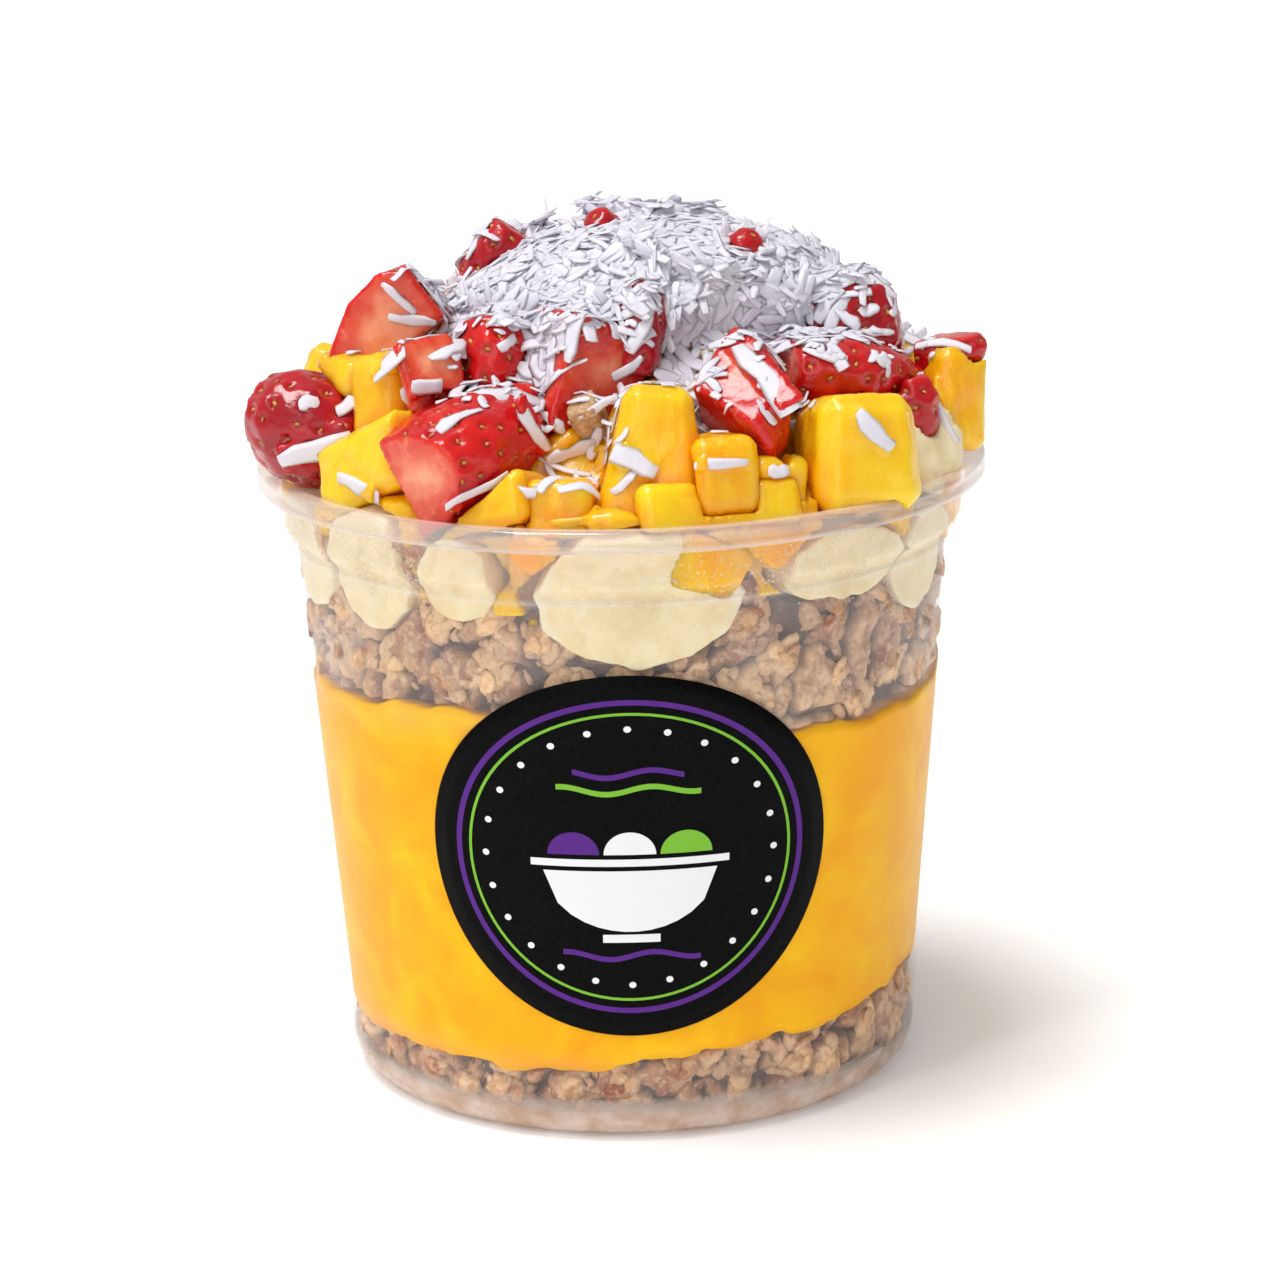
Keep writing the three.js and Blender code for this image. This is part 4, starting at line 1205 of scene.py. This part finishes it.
def juice_at(node, points):
    """How near each point lies to the other food of the heap, from 0 to 1, which sets the painted
    shade in the gaps.
    """
    heap = [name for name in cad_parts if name.startswith(("mango", "strawberry", "coconut"))]
    tree = surface_tree(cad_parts[name] for name in heap if name != node)
    hits = [tree.find_nearest(point, GAP_SHADE_REACH) for point in points.tolist()]
    away = np.array([GAP_SHADE_REACH if hit[0] is None else hit[3] for hit in hits])
    return 1 - smoothstep(0.3, GAP_SHADE_REACH, away)


def long_axis(points):
    """Unit vectors along the points' longest and shortest spreads."""
    _, axes = np.linalg.eigh(np.cov((points - points.mean(0)).T))
    return axes[:, 2], axes[:, 0]


def make_mango(number, shader):
    """A soft dice of mango, with shallow fibres along it."""
    node = f"mango_{number:02d}"
    piece = fine_copy(node, f"mango_dice_{number:02d}", 0.45, 1, 0.4)
    points = points_of(piece.data)
    along, _ = long_axis(points)
    squeezed = points - np.outer(points @ along, along) * 0.8
    relief = 0.8 * layered_noise(points, 7, 2, number) + 0.14 * layered_noise(squeezed, 1.6, 2, number)
    moved = pressed_out(raised(piece.data, relief))
    tone = np.random.default_rng(number).uniform(-0.2, 0.2)
    # Painted shade where the dice lies close to the other fruit.
    return stand_in(piece, node, "mango", shader, moved, tone=tone, juice=juice_at(node, points))


def make_banana(number, shader):
    """A banana slice, with its paler ring and its darker heart."""
    node = f"banana_{number:02d}"
    piece = fine_copy(node, f"banana_slice_{number:02d}", 0.6, 2, 0.5)
    points = points_of(piece.data)
    _, through = long_axis(points)
    offset = points - points.mean(0)
    flat = offset - np.outer(offset @ through, through)
    radial = np.linalg.norm(flat, axis=1)
    relief = 1.1 * layered_noise(points, 6, 3, number) + 0.15 * layered_noise(points, 1.5, 2, number)
    moved = pressed_out(raised(piece.data, relief))
    return stand_in(piece, node, "banana", shader, moved, radial=radial / radial.max())


BED = {
    "apart": 8,  # the middles of its lumps
    "slope": 0.2,
    "levels": (-0.5, 0.9),  # of the lumps' faces
    "groove": (1.6, 0.5),  # width and depth of the gaps between the lumps
    "rough": 0.3,
}
SMALL_DICE = {
    "count": 260,  # places tried
    "radii": (30, 49),
    "azimuths": (62, 298),  # the sides and the back, in degrees
    "apart": 8.5,
    "size": (7, 11.5),
    "sunk": 0.22,  # share of its size
    "clear": 3,  # least distance from the larger fruit
    "tilt": 0.3,
    "squareness": 7,  # 2 is a ball, and more is squarer
    "skew": 0.16,
    "rough": 0.04,
    "berries": 0.4,  # share of them that are strawberry
}


def make_bed(shader):
    """The diced fruit that shows between the larger pieces."""
    piece = fine_copy("mango_bed", "diced_bed", 0.9, 2, 0.1)
    points = points_of(piece.data)
    rng = np.random.default_rng(17)
    centres = points[spread_out(points, BED["apart"], 6)]
    slopes = rng.uniform(-BED["slope"], BED["slope"], (len(centres), 3))
    levels = rng.uniform(*BED["levels"], len(centres))
    numbers, farther = cells(points, centres)
    wide, deep = BED["groove"]
    groove = 1 - np.minimum(farther / wide, 1)
    relief = levels[numbers] + np.sum(slopes[numbers] * (points - centres[numbers]), axis=1)
    relief += BED["rough"] * layered_noise(points, 4, 3, 4) - deep * groove**2
    moved = held_in(pressed_out(raised(piece.data, relief)))
    tone = 0.35 * levels[numbers]
    # Painted shade: a little all over the bed, and deeper in the grooves between its lumps and near
    # the larger fruit.
    juice = np.maximum(0.2 + 0.6 * juice_at("mango_bed", points), 0.7 * groove)
    return stand_in(piece, "mango_bed", "mango", shader, moved, tone=tone, juice=juice)


def dice_shape(at, turn, size, rng):
    """A small block with soft edges and unequal faces."""
    points, faces = ball(9, 20)
    power = SMALL_DICE["squareness"]
    points /= np.sum(np.abs(points) ** power, axis=1)[:, None] ** (1 / power)
    skew = np.eye(3) + rng.uniform(-SMALL_DICE["skew"], SMALL_DICE["skew"], (3, 3))
    points += SMALL_DICE["rough"] * noise(points, 0.8, int(rng.integers(1, 400)))[:, None]
    return (points @ skew * np.array(size) / 2) @ turn.T + at, faces


def scatter_dice(bed, fruit, mango, berry):
    """Small dice half sunk in the bed at the sides and the back, between the larger fruit."""
    bed_tree = surface_tree([bed])
    fruit_tree = surface_tree(fruit)
    rng = np.random.default_rng(23)
    low, high = SMALL_DICE["azimuths"]
    placed = []
    parts = {"mango": [], "strawberry": []}
    for _ in range(SMALL_DICE["count"]):
        x, y = aside(rng.uniform(low, high) * DEGREE, rng.uniform(*SMALL_DICE["radii"]))
        hit, normal, _, _ = bed_tree.ray_cast(Vector((x, y, 200)), Vector((0, 0, -1)))
        if hit is None or fruit_tree.find_nearest(hit)[3] < SMALL_DICE["clear"]:
            continue
        if any((hit - other).length < SMALL_DICE["apart"] for other in placed):
            continue
        placed.append(hit)
        size = rng.uniform(*SMALL_DICE["size"], 3)
        at = np.array(hit) - np.array(normal) * size.mean() * SMALL_DICE["sunk"]
        outward = unit(np.array(normal) + rng.normal(0, SMALL_DICE["tilt"], 3))
        shape = dice_shape(at, turned_to(outward, rng.uniform(0, math.tau)), size, rng)
        parts["strawberry" if rng.uniform() < SMALL_DICE["berries"] else "mango"].append(shape)
    for kind, shader in (("mango", mango), ("strawberry", berry)):
        points, faces = joined(parts[kind])
        piece = new_piece(f"small_{kind}_dice", held_in(points), faces, kind, [shader])
        set_attributes(piece.data, tone=0, juice=0, cut=1, depth=5, pit=0, shade=0, pale=0)
        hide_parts("mango_bed")


def make_crumbs(shader):
    """The granola lumps caught between the front fruit."""
    piece = fine_copy("granola_crumbs", "crumb_lumps", 0.5, 1, 0.15)
    rough = layered_noise(points_of(piece.data), 1.8, 3, 8)
    moved = raised(piece.data, 0.45 * rough)
    tone = np.clip(0.4 + 0.6 * rough, 0, 1)
    # Painted shade: darker where the rough relief sinks.
    gap = np.clip(-rough - 0.3, 0, 1)
    return stand_in(piece, "granola_crumbs", "granola", shader, moved, tone=tone, gap=gap)


# ---- coconut ------------------------------------------------------------------------------

STRIPS = {
    "count": 2250,
    "length": (4, 12),
    "width": (1.3, 3.1),
    "thickness": 0.4,
    "steps": 4,
}

# Strips dropped on the fruit round the mound: some all round, a fringe over the front, and bits.
LOOSE = (
    {"count": 480, "radii": (24, 44), "length": (3, 9), "width": (1.3, 2.8)},
    {"count": 420, "radii": (24, 38), "length": (3, 10), "width": (1.5, 3.2), "arc": 80},
    {"count": 450, "radii": (26, 50), "length": (1.2, 3), "width": (0.8, 1.8)},
)
LOOSE_CENTRE = (3, 3)
LYING = {"probe": 6, "reach": 2.0, "lift": 0.3}  # how a strip follows what it lies on
MOUND_TOP = {"height": 138.2, "flatter": 0.6}  # strips above this height lie this much flatter
FLAKE_TRIM = (0.97, 0.9)  # how long and how wide the flakes are, as shares of their rows

# Flakes that lie on the front fruit: where they are seen [x, z], their length and width, and
# their spin in degrees, up to the right.
FLAKES = [
    ((-47, 108), (12.6, 5), 20),
    ((-35, 121.5), (6.6, 4.6), 30),
    ((-18, 117.5), (12, 3.4), 3),
    ((-13.5, 113.5), (10, 2.8), -62),
    ((-22, 106), (10.6, 3), 35),
    ((-40.5, 104), (9, 2.9), -12),
    ((2, 109.5), (7.4, 3.8), -25),
    ((15, 109.5), (8.1, 2.2), 0),
    ((22, 120.5), (15.6, 4.6), -48),
    ((38, 112), (8.1, 3.2), -50),
    ((50, 111), (12.6, 2.6), -65),
    ((-48, 115), (3.2, 3), 10),
    ((-42, 113.5), (4, 3), 0),
    ((-34, 129.5), (7, 2), -45),
    ((-32, 126), (7.5, 2), -10),
    ((-32, 134.5), (2.8, 2.6), 45),
    ((-29.5, 118.5), (5, 3), -5),
    ((-33.5, 116), (4.5, 2.5), -55),
    ((-24.5, 116), (8, 2.5), 50),
    ((-10, 113.5), (5, 2), -45),
    ((-4.5, 115), (9, 1.6), 30),
    ((-8, 108.5), (8, 3), 20),
    ((-6, 106.5), (7, 2.6), -20),
    ((-11, 107), (5, 2.4), 60),
    ((-4, 109.5), (5, 2), 70),
    ((-14, 105.5), (3, 2.5), 0),
    ((-10, 126), (4.5, 2.8), 90),
    ((-17, 124), (3.5, 2), 20),
    ((0, 126.5), (3, 2), 0),
    ((0.5, 106.5), (5, 1.8), 45),
    ((0.5, 113), (3, 1.5), 65),
    ((1, 120), (6, 2), 20),
    ((22, 115.5), (4.2, 2), -60),
    ((23.5, 107), (3.5, 2.5), 0),
    ((13, 120), (7, 1.8), 15),
    ((13, 120.5), (6.5, 1.8), 75),
    ((13.5, 119.5), (6, 1.8), -45),
    ((40.5, 119.5), (3.4, 3.2), 0),
    ((40, 129), (9.5, 2.2), -30),
    ((41, 121.5), (6, 1.6), -10),
    ((51, 119.5), (9, 1.7), 3),
]


def strip_shape(at, normal, along, length, width, rise, rng):
    """A thin strip with uneven edges. rise is how far its middle line stands along the normal."""
    steps = STRIPS["steps"]
    across = np.cross(normal, along)
    share = np.linspace(-1, 1, steps + 1)
    taper = 1 - np.abs(share) ** 8 * rng.uniform(0.05, 0.5)
    left = width / 2 * taper * rng.uniform(0.65, 1.2, steps + 1)
    right = width / 2 * taper * rng.uniform(0.65, 1.2, steps + 1)
    bend = rng.uniform(-0.2, 0.2) * length / 2 * share**2
    middle = at + np.outer(share * length / 2, along) + np.outer(rise, normal) + np.outer(bend, across)
    lean = rng.uniform(-0.35, 0.35) * share + rng.uniform(-0.2, 0.2)
    side = np.outer(np.cos(lean), across) + np.outer(np.sin(lean), normal)
    up = np.outer(np.cos(lean), normal) - np.outer(np.sin(lean), across)
    up *= STRIPS["thickness"] / 2
    corners = [
        middle - side * left[:, None],
        middle - side * left[:, None] * 0.5 + up,
        middle + side * right[:, None] * 0.6 + up * 0.8,
        middle + side * right[:, None],
        middle - up * 0.8,
    ]
    rings = np.stack(corners, axis=1)
    return capped_grid(rings, middle[0] - along * 0.15, middle[-1] + along * 0.15)


def curled(length, curl, rng):
    """Rise of a strip whose ends stand or hang, as a share of its length."""
    share = np.linspace(-1, 1, STRIPS["steps"] + 1)
    return curl * share**2 * length / 2 + rng.uniform(-0.06, 0.06, len(share))


def lying(tree, at, normal, along, length):
    """Rise of a strip that follows what it lies on."""
    probe, reach = LYING["probe"], LYING["reach"]
    rises = []
    for share in np.linspace(-1, 1, STRIPS["steps"] + 1):
        start = at + along * share * length / 2 + normal * probe
        hit = tree.ray_cast(Vector(start), Vector(-normal), 2 * probe)
        rises.append(probe - hit[3] if hit[0] else -reach)
    rises = np.clip(np.array(rises), -reach, reach) + LYING["lift"]
    padded = np.concatenate([rises[:1], rises, rises[-1:]])
    return (padded[:-2] + 2 * padded[1:-1] + padded[2:]) / 4


def mound_strips(points, normals, rng):
    """Strips that lie on the mound, mostly flat, and hang over its edge."""
    parts = []
    upper = np.flatnonzero(normals[:, 2] > -0.25)
    low, high = STRIPS["length"]
    for i in rng.choice(upper, STRIPS["count"], replace=True):
        normal = unit(normals[i] + rng.normal(0, 0.07, 3))
        along = unit(np.cross(normal, rng.normal(0, 1, 3)))
        length = low + (high - low) * rng.beta(1.3, 2.2)
        width = rng.uniform(*STRIPS["width"])
        at = points[i] + normals[i] * rng.uniform(-0.1, 0.35)
        rise = curled(length, rng.uniform(-0.1, 0), rng)
        parts.append(strip_shape(at, normal, along, length, width, rise, rng))
    return parts


def loose_strips(tree, rng, count, radii, length, width, arc=180):
    """Strips dropped round the mound, up to an arc in degrees to each side of the front."""
    parts = []
    for _ in range(count):
        azimuth = rng.uniform(-arc, arc) * DEGREE
        x, y = np.array(aside(azimuth, rng.uniform(*radii))) + LOOSE_CENTRE
        hit, normal, _, _ = tree.ray_cast(Vector((x, y, 160)), Vector((0, 0, -1)))
        if hit is None or normal.z < 0.2:
            continue
        normal = unit(np.array(normal) + (0, 0, 0.5))
        along = unit(np.cross(normal, rng.normal(0, 1, 3)))
        size = rng.uniform(*length)
        rise = lying(tree, np.array(hit), normal, along, size)
        parts.append(strip_shape(np.array(hit), normal, along, size, rng.uniform(*width), rise, rng))
    return parts


def front_flakes(tree, rng):
    """The large flakes that lie on the front fruit, found by looking along +Y."""
    parts = []
    for (x, z), (length, width), spin in FLAKES:
        hit, normal, _, _ = tree.ray_cast(Vector((x, -120, z)), Vector((0, 1, 0)))
        if hit is None:
            continue
        normal = np.array(normal)
        level = unit(np.cross((0, 0, 1), -normal))
        steep = np.cross(level, -normal)
        angle = spin * DEGREE
        along = level * math.cos(angle) + unit(steep) * math.sin(angle)
        length *= FLAKE_TRIM[0]
        rise = lying(tree, np.array(hit), normal, along, length)
        width *= FLAKE_TRIM[1]
        parts.append(strip_shape(np.array(hit), normal, along, length, width, rise, rng))
    return parts


def make_coconut(shader, heap):
    """A mound of loose shreds over a core, with strips on the fruit round it."""
    core = fine_copy("coconut_shreds", "coconut_core", 0.6, 2, -0.2)
    normals = normals_of(core.data)
    points = raised(core.data, 0.5 * layered_noise(points_of(core.data), 2, 2, 2))
    stand_in(core, "coconut_shreds", "coconut", shader, points)
    rng = np.random.default_rng(5)
    tree = surface_tree([*heap, core])
    parts = mound_strips(points, normals, rng)
    for layer in LOOSE:
        parts += loose_strips(tree, rng, **layer)
    points, faces = joined(parts)
    points[:, 2] -= MOUND_TOP["flatter"] * np.maximum(points[:, 2] - MOUND_TOP["height"], 0)
    strips = new_piece("coconut_strips", points, faces, "coconut", [shader])
    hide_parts("coconut_shreds")
    new_piece("coconut_flakes", *joined(front_flakes(tree, rng)), "coconut", [shader])


# ---- the stage ----------------------------------------------------------------------------


FLOOR = {"half": 3000, "glow": 0.14}
SKY = (0.56, 0.28)  # how bright the surroundings are on the left and on the right
SUNS = {  # azimuth, elevation, strength and softness
    "key": (-68, 77, 2.15, 24),
    "fill": (-14, 26, 0.5, 40),
    "glint": (-40, 52, 0.35, 7),
}


def make_floor():
    half = FLOOR["half"] * MM
    mesh = bpy.data.meshes.new("pale_floor")
    corners = [(-half, -half, 0), (half, -half, 0), (half, half, 0), (-half, half, 0)]
    mesh.from_pydata(corners, [], [(0, 1, 2, 3)])
    shader = Shader("pale_floor", Roughness=0.7, Emission_Strength=FLOOR["glow"])
    shader.set("Base Color", "#f8f8f8")
    shader.set("Emission Color", "#ffffff")
    mesh.materials.append(shader.material)
    linked("pale_floor", mesh)


def make_camera():
    lens = bpy.data.cameras.new("camera")
    lens.sensor_width = CAMERA["sensor"]
    lens.lens = CAMERA["focal"] * CAMERA["sensor"] / CAMERA["frame"]
    lens.clip_start = 0.01
    camera = linked("camera", lens)
    roll = Matrix.Rotation(-CAMERA["roll"], 3, "Z")
    tip = Matrix.Rotation(math.pi / 2 - CAMERA["pitch"], 3, "X")
    yaw = Matrix.Rotation(-CAMERA["yaw"], 3, "Z")
    camera.matrix_world = (yaw @ tip @ roll).to_4x4()
    camera.location = (0, -CAMERA["distance"] * MM, CAMERA["height"] * MM)
    bpy.context.scene.camera = camera


def add_sun(name, azimuth, elevation, strength, softness):
    """A far soft lamp that shines from an azimuth and an elevation. Angles are in degrees."""
    lamp = bpy.data.lights.new(name, "SUN")
    lamp.energy = strength
    lamp.angle = softness * DEGREE
    x, y = aside(azimuth * DEGREE, math.cos(elevation * DEGREE))
    towards = Vector((x, y, math.sin(elevation * DEGREE)))
    linked(name, lamp).rotation_euler = towards.to_track_quat("Z", "Y").to_euler()


def make_sky():
    """White surroundings, brighter on the left than on the right."""
    world = bpy.data.worlds.new("studio")
    world.use_nodes = True
    tree = world.node_tree
    parts = tree.nodes.new("ShaderNodeSeparateXYZ")
    across = tree.nodes.new("ShaderNodeMapRange")
    for name, value in zip(("From Min", "From Max", "To Min", "To Max"), (-1, 1, *SKY)):
        across.inputs[name].default_value = value
    background = tree.nodes["Background"]
    background.inputs["Color"].default_value = (1, 1, 1, 1)
    direction = tree.nodes.new("ShaderNodeTexCoord").outputs["Generated"]
    tree.links.new(direction, parts.inputs["Vector"])
    tree.links.new(parts.outputs["X"], across.inputs["Value"])
    tree.links.new(across.outputs["Result"], background.inputs["Strength"])
    bpy.context.scene.world = world


def make_light():
    make_sky()
    for name, values in SUNS.items():
        add_sun(name, *values)
    bpy.context.scene.view_settings.view_transform = "Standard"


# ---- everything ---------------------------------------------------------------------------


def numbers_of(kind):
    """The numbers of the nodes of a kind, such as 1 for mango_01."""
    endings = [name.removeprefix(kind) for name in sorted(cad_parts) if name.startswith(kind)]
    return [int(ending) for ending in endings if ending.isdigit()]


def make_pips(seeds):
    pip = Shader("pips", Roughness=0.4)
    pip.set("Base Color", pip.mix(pip.spread(pip.blobs(3, 1), 0.3, 0.7), "#d89c3c", "#b0601e"))
    new_piece("berry_pips", *joined(seeds), "strawberry", [pip.material])


def make_fruit():
    """All the fruit. Returns its pieces and the bed under them."""
    mango = mango_shader("mango", "#ffcc12", "#fdac00")
    pieces = [make_mango(number, mango) for number in numbers_of("mango_")]
    berry = strawberry_shader()
    seeds = []
    pieces += [make_strawberry(number, berry, seeds) for number in numbers_of("strawberry_")]
    make_pips(seeds)
    banana = banana_shader()
    pieces += [make_banana(number, banana) for number in numbers_of("banana_")]
    # The bed has its own copy of the mango, a little deeper orange: painted shade, as it lies low
    # between the pieces.
    bed = make_bed(mango_shader("mango_bed", "#ffc408", "#fa9e00"))
    scatter_dice(bed, pieces, mango, berry)
    return pieces, bed


def build():
    make_camera()
    make_light()
    make_floor()
    make_tub()
    make_drops()
    make_label()
    make_smoothie()
    fruit, bed = make_fruit()
    oats = granola_shader("granola", "#f8cc9a", "#a05632")
    between = spots_between(fruit, 41)
    make_granola("granola_upper", "upper_granola", 6.5, 21, oats, between)
    make_granola("granola_lower", "lower_granola", 5.5, 31, oats)
    crumbs = make_crumbs(granola_shader("crumbs", "#d9b48c", "#a9713f"))
    make_coconut(coconut_shader(), [*fruit, bed, crumbs])


build()
